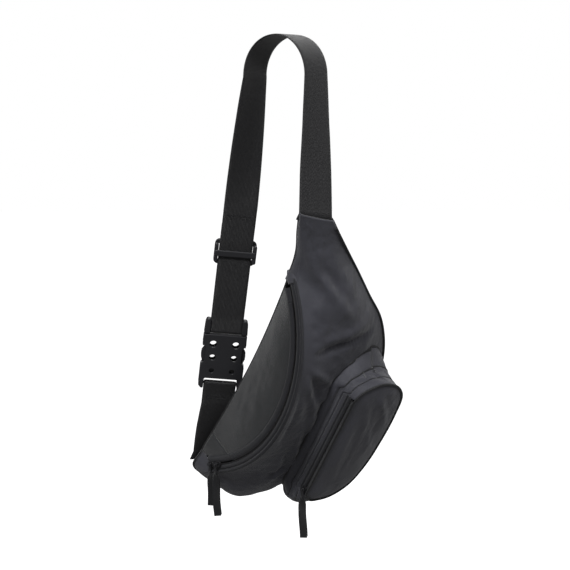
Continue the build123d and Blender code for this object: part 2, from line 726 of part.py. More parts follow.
# ---------------------------------------------------------------- tri-glide
GLIDE_WIDTH = 48.0
GLIDE_LENGTH = 31.0
GLIDE_OPENING = WEBBING_WIDTH + 1.6
STACK = LAYER_OFFSET + WEBBING_THICK / 2
with BuildPart() as tri_glide:
    with BuildSketch(run_front(TRI_GLIDE_AT, -STACK - 3.0)):
        RectangleRounded(GLIDE_WIDTH, GLIDE_LENGTH, 5)
        Rectangle(GLIDE_OPENING, GLIDE_LENGTH - 11, mode=Mode.SUBTRACT)
    extrude(amount=3.0 - GAP)
    with BuildSketch(run_front(TRI_GLIDE_AT, -STACK - GAP)):
        for side in (-1, 1):
            with Locations((side * (GLIDE_WIDTH + GLIDE_OPENING) / 4, 0)):
                Rectangle((GLIDE_WIDTH - GLIDE_OPENING) / 2, GLIDE_LENGTH - 12)
    extrude(amount=2 * STACK + 2 * GAP + 2.6)
    with BuildSketch(run_front(TRI_GLIDE_AT, STACK + GAP)):
        RectangleRounded(GLIDE_WIDTH, 6.4, 2)
    extrude(amount=2.6)
save(tri_glide, "tri_glide")

# ---------------------------------------------------------------- side-release buckle
PLUG_TOP = PLUG_BAR_AT - 9.0
PLUG_BASE_TOP = PLUG_BAR_AT + 5.5
PLUG_BASE_LOW = PLUG_BAR_AT + 9.2
SOCKET_TOP = PLUG_BASE_LOW + 0.8
PLATE_LOW = SOCKET_BAR_AT - 7.5
SOCKET_LOW = SOCKET_BAR_AT + 5.5
PLATE_HALF = 5.0            # half the thickness of the buckle's shell
PLUG_HALF = 24.5            # half width of the plug
SOCKET_HALF = 25.5          # half width of the socket
WAIST_HALF = 21.5           # half width of the socket beside the prongs' pads
CHEEK_INNER = 19.8          # inner side of the cheeks that hold the webbing's bars
PRONG_PIVOT = 20.0          # half distance between the two prongs' roots
PRONG_ROOT_RADIUS = 2.6
PRONG_HALF = 2.2


def buckle_box(left, right, top, low):
    """Draw a rectangle on the buckle, by width and by distance down the run from the plug's bar."""
    Polygon(
        (left, PLUG_BAR_AT - top),
        (right, PLUG_BAR_AT - top),
        (right, PLUG_BAR_AT - low),
        (left, PLUG_BAR_AT - low),
        align=None,
    )


def buckle_plane(height):
    return run_front(PLUG_BAR_AT, height)


with BuildPart() as buckle_plug:
    with BuildSketch(buckle_plane(-4)):
        for side in (-1, 1):
            buckle_box(side * CHEEK_INNER, side * PLUG_HALF, PLUG_TOP, PLUG_BASE_LOW)
        buckle_box(-PLUG_HALF, PLUG_HALF, PLUG_BASE_TOP, PLUG_BASE_LOW)
    extrude(amount=8)
    with BuildSketch(Plane(origin=RUN_START + RUN * PLUG_BAR_AT, x_dir=RUN, z_dir=run_width)):
        Circle(BAR_RADIUS)
    extrude(amount=20.5, both=True)
    with BuildSketch(buckle_plane(-PRONG_HALF - 0.4)):
        buckle_box(-4, 4, PLUG_BASE_LOW, PLUG_BASE_LOW + 22)
    extrude(amount=2 * PRONG_HALF + 0.8)
save(buckle_plug, "buckle_plug")

PRONG_ROOT = PLUG_BASE_LOW + 3.4


def prong_outline(side):
    """Prong from its root down to the thumb pad and the tip, by width and by place on the run."""
    root = PLUG_BAR_AT - PRONG_ROOT
    return [
        (side * (PRONG_PIVOT - PRONG_ROOT_RADIUS), root),
        (side * (PRONG_PIVOT + PRONG_ROOT_RADIUS), root),
        (side * 22.4, root - 13.8),
        (side * 25.4, root - 17.5),
        (side * 26.2, root - 24.0),
        (side * 25.2, root - 30.0),
        (side * 22.2, root - 34.5),
        (side * 19.5, root - 35.0),
        (side * 18.0, root - 32.0),
    ]


for name, side in (("left", -1), ("right", 1)):
    with BuildPart() as prong:
        with BuildSketch(buckle_plane(-PRONG_HALF)):
            with Locations((side * PRONG_PIVOT, PLUG_BAR_AT - PRONG_ROOT)):
                Circle(PRONG_ROOT_RADIUS)
            Polygon(*prong_outline(side), align=None)
        extrude(amount=2 * PRONG_HALF)
    save(prong, "buckle_prong_" + name)

CAVITY_HALF = PRONG_HALF + GAP
CAVITY_WIDE = 23.0
PLATE_HOLES = ((13.2, 4.2), (12.6, 3.6), (12.0, 2.8))   # half spacing and radius, from the top row down
HOLE_PITCH = 17.0
FIRST_HOLE_AT = SOCKET_TOP + 12.0
WINDOW_TOP = PRONG_ROOT + 13.0
WINDOW_LOW = PRONG_ROOT + 34.0
FLOOR_AT = PRONG_ROOT + 37.5
with BuildPart() as buckle_socket:
    with BuildSketch(buckle_plane(-PLATE_HALF)):
        buckle_box(-SOCKET_HALF, SOCKET_HALF, SOCKET_TOP, WINDOW_TOP)
        buckle_box(-WAIST_HALF, WAIST_HALF, WINDOW_TOP, WINDOW_LOW)
        buckle_box(-SOCKET_HALF, SOCKET_HALF, WINDOW_LOW, FLOOR_AT)
        for side in (-1, 1):
            buckle_box(side * CHEEK_INNER, side * SOCKET_HALF, FLOOR_AT, SOCKET_LOW)
        buckle_box(-SOCKET_HALF, SOCKET_HALF, FLOOR_AT, PLATE_LOW)
    extrude(amount=2 * PLATE_HALF)
    with BuildSketch(buckle_plane(-CAVITY_HALF)):
        buckle_box(-CAVITY_WIDE, CAVITY_WIDE, SOCKET_TOP - 1, WINDOW_TOP)
        buckle_box(-SOCKET_HALF - 5, SOCKET_HALF + 5, WINDOW_TOP, WINDOW_LOW)
        buckle_box(-CAVITY_WIDE, CAVITY_WIDE, WINDOW_LOW, FLOOR_AT - 1)
    extrude(amount=2 * CAVITY_HALF, mode=Mode.SUBTRACT)
    with BuildSketch(Plane(origin=RUN_START + RUN * SOCKET_BAR_AT, x_dir=RUN, z_dir=run_width)):
        Circle(BAR_RADIUS)
    extrude(amount=21, both=True)
    with BuildSketch(buckle_plane(-PLATE_HALF - 1)):
        for row, (spread, radius) in enumerate(PLATE_HOLES):
            for side in (-1, 1):
                with Locations((side * spread, PLUG_BAR_AT - FIRST_HOLE_AT - HOLE_PITCH * row)):
                    Circle(radius)
    extrude(amount=2 * PLATE_HALF + 2, mode=Mode.SUBTRACT)
save(buckle_socket, "buckle_socket")
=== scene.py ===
"""Looks of the sling bag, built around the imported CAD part. Lengths are millimetres unless they say metres.

The bag has its own directions: ALONG runs from its lower end to its upper end, ACROSS points to the side
that is on top when the bag is worn, and OUT points from the wearer's back to the front pocket.
"""

from math import atan2, cos, degrees, pi, radians, sin

import bmesh
import bpy
import numpy as np
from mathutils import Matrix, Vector, noise
from mathutils.bvhtree import BVHTree


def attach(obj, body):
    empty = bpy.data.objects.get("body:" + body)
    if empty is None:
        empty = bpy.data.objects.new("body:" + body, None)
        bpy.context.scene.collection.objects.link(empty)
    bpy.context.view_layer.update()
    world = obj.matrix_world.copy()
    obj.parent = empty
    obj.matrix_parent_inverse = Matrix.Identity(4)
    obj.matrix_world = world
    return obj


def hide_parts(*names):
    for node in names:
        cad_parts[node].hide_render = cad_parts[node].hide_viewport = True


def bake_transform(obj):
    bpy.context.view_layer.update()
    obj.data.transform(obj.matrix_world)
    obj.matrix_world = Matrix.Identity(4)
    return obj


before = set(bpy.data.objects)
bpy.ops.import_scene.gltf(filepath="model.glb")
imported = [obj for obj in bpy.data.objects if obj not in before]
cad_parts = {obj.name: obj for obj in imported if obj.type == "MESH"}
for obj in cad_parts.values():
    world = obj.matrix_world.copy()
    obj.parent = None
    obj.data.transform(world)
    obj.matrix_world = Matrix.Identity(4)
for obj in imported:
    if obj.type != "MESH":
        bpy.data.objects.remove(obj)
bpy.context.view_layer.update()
MM = 0.001

# ---------------------------------------------------------------- design dimensions, as in the CAD part
WEBBING_WIDTH = 38.0
WEBBING_THICK = 1.6
BEND_RADIUS = 42.0
BAG_YAW = 12.0
BAG_LEAN = 36.8
UPPER_END = np.array((45.0, -3.0, -149.0))
UPPER_REACH = 176.0
BACK_THICK = 6.0
HINGE_LINE = -22.0
LID_TILT = 6.0
ZIP_RADIUS = 180.0
ZIP_MIDDLE = -57.0
ZIP_CREST = 76.5
ZIP_LOW_ANGLE = -47.2
ZIP_HIGH_ANGLE = 53.5
TAPE_THICK = 1.0
COIL_RADIUS = 0.8
GAP = 0.4
RIDGE_REACH = 10.0
FLAP_LOW = -156.0
FLAP_HIGH = 72.0
LID_LOW = -187.0
LID_HIGH = 86.0
SLIDER_HEIGHT = 2.2
SLIDER_A_ANGLE = -45.3
SLIDER_B_ANGLE = -41.0
PIPING_RADIUS = 1.8
POCKET_BASE = 40.0
POCKET_FACE = 108.0
POCKET_ZIP_HEIGHT = 102.0
POCKET_SLIDER_STATION = -160.0
RUN_TURN = 45.0
KNEE = np.array((-81.6, 20.1, -143.0))
TAIL = np.array((-140.8, 48.5, -354.7))
TWIST_END = 150.0
TRI_GLIDE_AT = 208.0
PLUG_BAR_AT = 299.0
PLUG_LOOP_AT = 305.0        # the loaded webbing pulls the plug's bar down to the socket's mouth
SOCKET_BAR_AT = 372.5
TAB_SEAM = -194.0
TAB_MIDDLE = -36.0

# ---------------------------------------------------------------- directions and places
def unit(vector):
    return vector / np.linalg.norm(vector)


yaw = radians(BAG_YAW)
lean = radians(BAG_LEAN)
tilt = radians(LID_TILT)
ALONG = np.array((sin(lean) * cos(yaw), -sin(lean) * sin(yaw), cos(lean)))
ACROSS = np.array((-sin(yaw), -cos(yaw), 0.0))
OUT = np.cross(ALONG, ACROSS)
BAG_ZERO = UPPER_END - ALONG * UPPER_REACH + ACROSS * (WEBBING_WIDTH / 2)
LID_RISE = OUT * cos(tilt) - ACROSS * sin(tilt)
LID_NORMAL = ACROSS * cos(tilt) + OUT * sin(tilt)
LID_ZERO = BAG_ZERO + ACROSS * HINGE_LINE
ZIP_CENTRE = LID_ZERO + ALONG * ZIP_MIDDLE + LID_RISE * (ZIP_CREST - ZIP_RADIUS)
DOWN = np.array((0.0, 0.0, -1.0))


def bag_points(along, across, out):
    """Points from arrays or numbers in the bag's own directions."""
    along, across, out = np.broadcast_arrays(along, across, out)
    across, out = seam_twist(along, across, out)
    return BAG_ZERO + along[..., None] * ALONG + across[..., None] * ACROSS + out[..., None] * OUT


def lid_points(station, rise, height):
    """Points from stations, heights above the back edge and heights off the lid's plane."""
    station, rise, height = np.broadcast_arrays(station, rise, height)
    return LID_ZERO + station[..., None] * ALONG + rise[..., None] * LID_RISE + height[..., None] * LID_NORMAL


def rise_at(station, radius):
    """Height above the back edge of a circle about the zip's centre."""
    return np.sqrt(radius**2 - (np.asarray(station) - ZIP_MIDDLE) ** 2) + ZIP_CREST - ZIP_RADIUS


def zip_points(angle, offset, height):
    """Points from the angle along the main zip, the offset from its middle and the height off the tape."""
    angle, offset, height = np.broadcast_arrays(np.radians(angle), offset, height)
    radial = np.sin(angle)[..., None] * ALONG + np.cos(angle)[..., None] * LID_RISE
    return ZIP_CENTRE + radial * (ZIP_RADIUS + offset[..., None]) + height[..., None] * LID_NORMAL


def flap_angle(station):
    return degrees(atan2(station - ZIP_MIDDLE, float(rise_at(station, ZIP_RADIUS)) - ZIP_CREST + ZIP_RADIUS))


# ---------------------------------------------------------------- curves and grids
def smooth_between(knots, values, x):
    """A smooth curve through the values at the knots, read at every x."""
    knots = np.asarray(knots, float)
    values = np.asarray(values, float)
    x = np.asarray(x, float)
    slopes = np.gradient(values, knots, axis=0)
    index = np.clip(np.searchsorted(knots, x) - 1, 0, len(knots) - 2)
    shape = (-1,) + (1,) * (values.ndim - 1)
    gap = (knots[index + 1] - knots[index]).reshape(shape)
    t = (x - knots[index]).reshape(shape) / gap
    start = (2 * t**3 - 3 * t**2 + 1) * values[index] + (t**3 - 2 * t**2 + t) * slopes[index] * gap
    end = (3 * t**2 - 2 * t**3) * values[index + 1] + (t**3 - t**2) * slopes[index + 1] * gap
    return start + end


def unit_rows(vectors):
    """Each row brought to length 1."""
    return vectors / np.linalg.norm(vectors, axis=1, keepdims=True)


def run_lengths(path):
    """Distance along a path at each of its points."""
    return np.concatenate(([0.0], np.cumsum(np.linalg.norm(np.diff(path, axis=0), axis=1))))


def evenly(path, count):
    """The same path with evenly spaced points."""
    run = run_lengths(path)
    even = np.linspace(0, run[-1], count)
    return np.stack([np.interp(even, run, path[:, k]) for k in range(path.shape[1])], axis=1)


def smooth_path(points, count):
    """Evenly spaced points on a smooth curve through the given ones."""
    points = np.asarray(points, float)
    run = run_lengths(points)
    return evenly(smooth_between(run, points, np.linspace(0, run[-1], 8 * count)), count)


def rounded_outline(corners, cut, steps=6, side_steps=1):
    """A closed outline with each corner rounded, starting cut away from it; sides get side_steps points."""
    corners = np.asarray(corners, float)
    cuts = np.broadcast_to(cut, len(corners))
    outline = []
    for index, corner in enumerate(corners):
        before = corners[index - 1] - corner
        after = corners[(index + 1) % len(corners)] - corner
        reach_in = min(cuts[index], 0.45 * np.linalg.norm(before))
        reach_out = min(cuts[index], 0.45 * np.linalg.norm(after))
        start = corner + unit(before) * reach_in
        end = corner + unit(after) * reach_out
        for t in np.linspace(0, 1, steps):
            outline.append((1 - t) ** 2 * start + 2 * t * (1 - t) * corner + t**2 * end)
        following = corners[(index + 1) % len(corners)]
        next_cut = min(cuts[(index + 1) % len(corners)], 0.45 * np.linalg.norm(after))
        next_start = following - unit(after) * next_cut
        for t in np.linspace(0, 1, side_steps + 1)[1:-1]:
            outline.append(end + (next_start - end) * t)
    return np.array(outline)


def grid_normals(grid):
    normals = np.cross(np.gradient(grid, axis=0), np.gradient(grid, axis=1))
    return normals / np.maximum(np.linalg.norm(normals, axis=2, keepdims=True), 1e-9)


def grid_uv(grid):
    """Lengths along and across a grid, so that a weave keeps its scale."""
    down = np.linalg.norm(np.diff(grid, axis=0), axis=2).mean(axis=1)
    over = np.linalg.norm(np.diff(grid, axis=1), axis=2).mean(axis=0)
    u = np.concatenate(([0.0], np.cumsum(down)))
    v = np.concatenate(([0.0], np.cumsum(over)))
    return np.stack(np.meshgrid(u, v, indexing="ij"), axis=2)


def fade(position, width):
    """0 at both ends of 0..1 and 1 further in than width, smoothly."""
    inside = np.clip(np.minimum(position, 1 - position) / width, 0, 1)
    return inside * inside * (3 - 2 * inside)


def ripples(first, second, size, seed):
    """Soft uneven swells, about -1 to 1, over two arrays of places in millimetres."""
    first, second = np.broadcast_arrays(first, second)
    flat = [
        noise.fractal(Vector((a / size[0], b / size[1], seed)), 0.8, 2.1, 3)
        for a, b in zip(first.ravel(), second.ravel())
    ]
    return np.array(flat).reshape(first.shape)


def crease(first, second, route, width, height, lopsided=0.0):
    """A long fold along a route: a ridge of that width and height, with a furrow on one side."""
    route = smooth_path(route, 24)
    places = np.stack(np.broadcast_arrays(first, second), axis=-1)
    flat = places.reshape(-1, 2)
    gaps = flat[:, None, :] - route[None]
    nearest = np.argmin((gaps**2).sum(axis=2), axis=1)
    ahead = np.gradient(route, axis=0)[nearest]
    away = flat - route[nearest]
    side = (ahead[:, 0] * away[:, 1] - ahead[:, 1] * away[:, 0]) / np.linalg.norm(ahead, axis=1)
    distance = np.linalg.norm(away, axis=1)
    taper = fade(nearest / (len(route) - 1), 0.35)
    ridge = np.exp(-((distance / width) ** 2))
    furrow = np.exp(-(((side - 1.6 * width) / width) ** 2)) * (distance < 4 * width)
    return (height * taper * (ridge - lopsided * furrow)).reshape(places.shape[:-1])


# ---------------------------------------------------------------- making pieces
def placed(name, data):
    """A new object in the scene for some mesh, curve, light or camera."""
    made = bpy.data.objects.new(name, data)
    bpy.context.scene.collection.objects.link(made)
    return made


def add_piece(name, mesh, material, body):
    """Put a mesh in the scene as a piece that rides on a body, or on no body when none is given."""
    mesh.materials.clear()
    mesh.materials.append(material)
    mesh.shade_smooth()
    piece = placed(name, mesh)
    if body:
        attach(piece, body)
    return piece


def welded(mesh):
    """Join points that lie on top of each other, so that closed shapes have no seam."""
    whole = bmesh.new()
    whole.from_mesh(mesh)
    bmesh.ops.remove_doubles(whole, verts=whole.verts, dist=0.01 * MM)
    whole.to_mesh(mesh)
    whole.free()
    return mesh


def mesh_of(vertices, faces, uv):
    mesh = bpy.data.meshes.new("shape")
    mesh.from_pydata((np.asarray(vertices, float) * MM).tolist(), [], faces)
    layer = mesh.uv_layers.new(name="UVMap")
    corners = np.zeros(len(mesh.loops), int)
    mesh.loops.foreach_get("vertex_index", corners)
    layer.data.foreach_set("uv", (np.asarray(uv, float)[corners] * MM).ravel())
    return welded(mesh)


def grid_faces(rows, columns, first=0, flipped=False):
    faces = []
    for row in range(rows - 1):
        for column in range(columns - 1):
            corner = first + row * columns + column
            quad = (corner, corner + columns, corner + columns + 1, corner + 1)
            faces.append(quad[::-1] if flipped else quad)
    return faces


def sheet_mesh(grid, thick, uv=None):
    """Cloth of some thickness whose outer face is the grid; its normals point away from the inner face."""
    rows, columns = grid.shape[:2]
    inner = grid - grid_normals(grid) * thick
    count = rows * columns
    faces = grid_faces(rows, columns) + grid_faces(rows, columns, count, True)
    edges = []
    if not np.allclose(grid[:, 0], grid[:, -1]):
        edges.append([row * columns for row in range(rows)])
        edges.append([row * columns + columns - 1 for row in range(rows - 1, -1, -1)])
    if not np.allclose(grid[0], grid[-1]):
        edges.append([(rows - 1) * columns + column for column in range(columns)])
        edges.append([column for column in range(columns - 1, -1, -1)])
    for edge in edges:
        for corner, after in zip(edge, edge[1:]):
            faces.append((corner, corner + count, after + count, after))
    uv = (grid_uv(grid) if uv is None else uv).reshape(-1, 2)
    points = np.concatenate((grid.reshape(-1, 3), inner.reshape(-1, 3)))
    return mesh_of(points, faces, np.concatenate((uv, uv)))


def carried_normals(path):
    """Unit tangents and a pair of side directions that turn as little as possible along a path."""
    tangents = unit_rows(np.gradient(path, axis=0))
    start = np.array((0.0, 0.0, 1.0)) if abs(tangents[0][2]) < 0.9 else np.array((1.0, 0.0, 0.0))
    sides = []
    for tangent in tangents:
        start = unit(start - tangent * start.dot(tangent))
        sides.append(start)
    sides = np.array(sides)
    return tangents, sides, np.cross(tangents, sides)


def ring_solid(grid, flipped=False):
    """A solid with flat ends from rings of points, each ring ending where it starts."""
    count, columns = grid.shape[:2]
    ends = [tuple(range(columns - 1))[::-1], tuple((count - 1) * columns + k for k in range(columns - 1))]
    if flipped:
        ends = [end[::-1] for end in ends]
    faces = grid_faces(count, columns, flipped=flipped) + ends
    return mesh_of(grid.reshape(-1, 3), faces, grid_uv(grid).reshape(-1, 2))


def tube_mesh(path, radius, sides=10):
    """A round cord along a path; radius may change along it."""
    path = np.asarray(path, float)
    radius = np.broadcast_to(radius, len(path))
    _, first, second = carried_normals(path)
    turns = np.linspace(0, 2 * pi, sides + 1)
    ring = np.cos(turns)[None, :, None] * first[:, None] + np.sin(turns)[None, :, None] * second[:, None]
    return ring_solid(path[:, None] + ring * radius[:, None, None], True)


def ribbon_mesh(centres, widths, width, thick, across=12):
    """A flat band with soft edges: centres of its section, and unit vectors across it."""
    centres = np.asarray(centres, float)
    widths = np.asarray(widths, float)
    width = np.broadcast_to(width, len(centres))[:, None, None]
    tangents = unit_rows(np.gradient(centres, axis=0))
    widths = unit_rows(widths - tangents * (widths * tangents).sum(axis=1, keepdims=True))
    faces_out = np.cross(tangents, widths)
    spread = np.linspace(-1, 1, across)
    section_side = np.concatenate((spread, spread[::-1], spread[:1]))
    swell = 0.5 - 0.28 * np.abs(spread) ** 14
    section_face = np.concatenate((swell, -swell, swell[:1]))
    return ring_solid(
        centres[:, None]
        + widths[:, None] * section_side[None, :, None] * width / 2
        + faces_out[:, None] * section_face[None, :, None] * thick
    )


def plate_mesh(outline, low, high, place, bevel=0.6, holes=()):
    """A flat plate with rounded edges between two heights; place is (origin, x, y, z) directions."""
    curve = bpy.data.curves.new("plate", "CURVE")
    curve.dimensions = "2D"
    curve.fill_mode = "BOTH"
    for closed in [outline, *holes]:
        spline = curve.splines.new("POLY")
        spline.points.add(len(closed) - 1)
        flat = [(x, y, 0.0, 1.0) for x, y in closed]
        spline.points.foreach_set("co", np.array(flat, float).ravel())
        spline.use_cyclic_u = True
    curve.extrude = (high - low) / 2 - bevel
    curve.bevel_depth = bevel
    curve.bevel_resolution = 2
    curve.offset = -bevel
    holder = placed("plate", curve)
    bpy.context.view_layer.update()
    mesh = bpy.data.meshes.new_from_object(holder.evaluated_get(bpy.context.evaluated_depsgraph_get()))
    bpy.data.objects.remove(holder)
    bpy.data.curves.remove(curve)
    origin, x, y, z = place
    flat = np.zeros(len(mesh.vertices) * 3)
    mesh.vertices.foreach_get("co", flat)
    flat = flat.reshape(-1, 3)
    flat[:, 2] += (low + high) / 2
    solid = origin + flat[:, :1] * x + flat[:, 1:2] * y + flat[:, 2:] * z
    mesh.vertices.foreach_set("co", (solid * MM).ravel())
    mesh.update()
    return mesh


def joined(*meshes):
    """One mesh from several."""
    whole = bmesh.new()
    for mesh in meshes:
        whole.from_mesh(mesh)
    result = bpy.data.meshes.new("shape")
    whole.to_mesh(result)
    whole.free()
    return result


def arc(centre, radius, start, end, steps=10):
    """Points of an arc, angles in degrees."""
    turns = np.radians(np.linspace(start, end, steps))
    return np.stack((centre[0] + radius * np.cos(turns), centre[1] + radius * np.sin(turns)), axis=1)


def circle(centre, radius, steps=28):
    return arc(centre, radius, 0, 360, steps + 1)[:-1]


def stitch_mesh(path, outward, pitch=2.6, length=1.8, radius=0.22):
    """A row of short stitches along a path, standing on its outward side."""
    run = run_lengths(path)
    starts = np.arange(pitch / 2, run[-1] - length, pitch)
    stitches = []
    for start in starts:
        places = np.linspace(start, start + length, 4)
        points = np.stack([np.interp(places, run, path[:, k]) for k in range(3)], axis=1)
        lift = np.array((0.0, radius, radius, 0.0))[:, None]
        stitches.append(tube_mesh(points + outward * lift, np.array((0.6, 1, 1, 0.6)) * radius, 5))
    return joined(*stitches)


# ---------------------------------------------------------------- materials
class Look:
    """A material with short ways of adding nodes to its shader."""

    def __init__(self, name, colour, roughness, specular=0.4, sheen=0.0, metallic=0.0):
        self.material = bpy.data.materials.new(name)
        self.material.use_nodes = True
        self.nodes = self.material.node_tree.nodes
        self.links = self.material.node_tree.links
        self.shader = self.nodes["Principled BSDF"]
        self.shader.inputs["Base Color"].default_value = (*colour, 1)
        self.shader.inputs["Roughness"].default_value = roughness
        self.shader.inputs["Specular IOR Level"].default_value = specular
        self.shader.inputs["Metallic"].default_value = metallic
        self.shader.inputs["Sheen Weight"].default_value = sheen
        self.shader.inputs["Sheen Roughness"].default_value = 0.45
        self.colour = colour
        self.height = None

    def node(self, kind, **inputs):
        made = self.nodes.new(kind)
        for socket, value in inputs.items():
            target = made.inputs[socket.replace("_", " ")]
            if isinstance(value, bpy.types.NodeSocket):
                self.links.new(value, target)
            else:
                target.default_value = value
        return made

    def math(self, operation, *values):
        made = self.nodes.new("ShaderNodeMath")
        made.operation = operation
        for index, value in enumerate(values):
            if isinstance(value, bpy.types.NodeSocket):
                self.links.new(value, made.inputs[index])
            else:
                made.inputs[index].default_value = value
        return made.outputs[0]

    def surface_lengths(self):
        """The two surface coordinates in millimetres."""
        coordinates = self.nodes.new("ShaderNodeTexCoord")
        parts = self.node("ShaderNodeSeparateXYZ", Vector=coordinates.outputs["UV"])
        return self.math("DIVIDE", parts.outputs["X"], MM), self.math("DIVIDE", parts.outputs["Y"], MM)

    def noise(self, scale, detail=3.0, rough=0.55):
        """Noise over the object's own space, scale in swells per metre."""
        coordinates = self.nodes.new("ShaderNodeTexCoord")
        place = coordinates.outputs["Object"]
        made = self.node("ShaderNodeTexNoise", Vector=place, Scale=scale, Detail=detail, Roughness=rough)
        return made.outputs["Fac"]

    def wave(self, length, pitch, shift=0.0):
        """A sine over one surface length, with that pitch in millimetres."""
        turned = self.math("MULTIPLY_ADD", length, 2 * pi / pitch, shift)
        return self.math("SINE", turned)

    def tint(self, factor, low, high):
        """Colour the surface between two shades of its own colour."""
        mix = self.nodes.new("ShaderNodeMix")
        mix.data_type = "RGBA"
        sockets = {socket.name: socket for socket in mix.inputs if socket.enabled}
        self.links.new(factor, sockets["Factor"])
        sockets["A"].default_value = (*[c * low for c in self.colour], 1)
        sockets["B"].default_value = (*[c * high for c in self.colour], 1)
        result = [socket for socket in mix.outputs if socket.enabled][0]
        self.links.new(result, self.shader.inputs["Base Color"])

    def rough(self, factor, low, high):
        value = self.node("ShaderNodeMapRange", Value=factor)
        value.inputs["To Min"].default_value = low
        value.inputs["To Max"].default_value = high
        self.links.new(value.outputs["Result"], self.shader.inputs["Roughness"])

    def bump(self, height, distance, strength=1.0):
        """Add relief, distance in millimetres, on top of any relief already there."""
        made = self.node("ShaderNodeBump", Height=height, Strength=strength, Distance=distance * MM)
        if self.height is not None:
            self.links.new(self.height, made.inputs["Normal"])
        self.height = made.outputs["Normal"]
        self.links.new(self.height, self.shader.inputs["Normal"])


def nylon(name, colour, pitch, roughness, sheen):
    """Satin woven nylon: a fine plain weave with faint puckers and uneven sheen."""
    look = Look(name, colour, roughness, specular=0.42, sheen=sheen)
    warp, weft = look.surface_lengths()
    weave = look.math("MULTIPLY", look.wave(warp, pitch), look.wave(weft, pitch))
    patches = look.noise(28.0)
    look.tint(patches, 0.78, 1.22)
    look.rough(look.noise(60.0), roughness - 0.06, roughness + 0.08)
    look.bump(look.noise(95.0, 4.0, 0.6), 0.9, 0.35)
    look.bump(weave, 0.09, 0.6)
    return look.material


def ribbed_webbing(name, colour):
    """Flat nylon webbing: staggered cross ribs in narrow columns."""
    look = Look(name, colour, 0.5, specular=0.45, sheen=0.25)
    run, side = look.surface_lengths()
    columns = look.math("FLOOR", look.math("DIVIDE", side, 1.5))
    stagger = look.math("MULTIPLY", look.math("PINGPONG", columns, 2.0), pi / 2)
    ribs = look.math("SINE", look.math("ADD", look.math("MULTIPLY", run, 2 * pi / 1.4), stagger))
    cords = look.math("ABSOLUTE", look.wave(side, 3.0))
    relief = look.math("MULTIPLY", look.math("ADD", ribs, 1.0), cords)
    look.tint(relief, 0.7, 1.15)
    look.bump(relief, 0.22, 0.8)
    look.bump(look.noise(40.0), 0.6, 0.3)
    return look.material


def twill(name, colour, pitch=0.8, sheen=0.15):
    """Narrow woven tape with diagonal lines."""
    look = Look(name, colour, 0.62, specular=0.3, sheen=sheen)
    run, side = look.surface_lengths()
    diagonal = look.math("ADD", run, side)
    lines = look.math("SINE", look.math("MULTIPLY", diagonal, 2 * pi / pitch))
    look.tint(look.noise(80.0), 0.75, 1.2)
    look.bump(lines, 0.12, 0.7)
    return look.material


def spacer_mesh(name, colour):
    """Padded back mesh: small round openings in staggered rows."""
    look = Look(name, colour, 0.8, specular=0.2, sheen=0.2)
    run, side = look.surface_lengths()
    first = look.wave(look.math("ADD", run, look.math("MULTIPLY", side, 0.577)), 3.2)
    second = look.wave(look.math("MULTIPLY", side, 1.155), 3.2)
    third = look.wave(look.math("SUBTRACT", run, look.math("MULTIPLY", side, 0.577)), 3.2)
    holes = look.math("ADD", look.math("ADD", first, second), third)
    opening = look.math("SMOOTH_MIN", look.math("ADD", holes, 1.6), 0.9, 0.6)
    look.tint(opening, 0.25, 1.2)
    look.bump(opening, 0.5, 0.9)
    return look.material


def moulded(name, colour, roughness=0.42):
    """Moulded acetal: fine spark texture, slightly polished where it is handled."""
    look = Look(name, colour, roughness, specular=0.5)
    look.rough(look.noise(120.0), roughness - 0.08, roughness + 0.1)
    look.tint(look.noise(45.0), 0.85, 1.15)
    look.bump(look.noise(2600.0, 2.0, 0.5), 0.05, 0.5)
    return look.material


def painted_metal(name, colour):
    """Black lacquered zinc with brighter rubbed spots."""
    look = Look(name, colour, 0.32, specular=0.55, metallic=0.55)
    worn = look.math("POWER", look.noise(300.0, 4.0, 0.6), 3.0)
    look.tint(worn, 0.8, 3.2)
    look.rough(look.noise(500.0), 0.24, 0.44)
    look.bump(look.noise(900.0), 0.03, 0.5)
    return look.material


def twisted_thread(name, colour):
    look = Look(name, colour, 0.55, specular=0.35, sheen=0.2)
    run, side = look.surface_lengths()
    twist = look.math("SINE", look.math("MULTIPLY", look.math("ADD", run, side), 2 * pi / 0.5))
    look.tint(look.noise(200.0), 0.8, 1.2)
    look.bump(twist, 0.06, 0.6)
    return look.material


# Painted light and shade: the shell and the lid are one black nylon, yet the shell's colour is raised to
# stand in for the light its downward-facing front does not get, and the lid's colour is lowered as painted
# shade against the key light falling on it; only the lid's faint blue cast is its own.
SHELL = nylon("shell_nylon", (0.042, 0.0425, 0.054), 0.55, 0.5, 0.22)
LID = nylon("lid_nylon", (0.0125, 0.0135, 0.0158), 0.55, 0.52, 0.26)
LINING = nylon("lining_nylon", (0.016, 0.0165, 0.018), 0.7, 0.6, 0.1)
BINDING = nylon("binding_nylon", (0.0065, 0.0068, 0.0078), 0.5, 0.5, 0.12)
WEBBING = ribbed_webbing("nylon_webbing", (0.0028, 0.0026, 0.0040))
TAPE = twill("zip_tape_twill", (0.018, 0.0185, 0.0225))
STRIP = twill("pull_strip_twill", (0.009, 0.0092, 0.0105), 1.1)
BACK = spacer_mesh("back_spacer_mesh", (0.012, 0.012, 0.014))
PLASTIC = moulded("buckle_acetal", (0.015, 0.0150, 0.018))
COIL = moulded("zip_coil_nylon", (0.006, 0.006, 0.007), 0.5)
METAL = painted_metal("slider_lacquer", (0.03, 0.03, 0.033))
THREAD = twisted_thread("black_thread", (0.011, 0.0112, 0.0125))

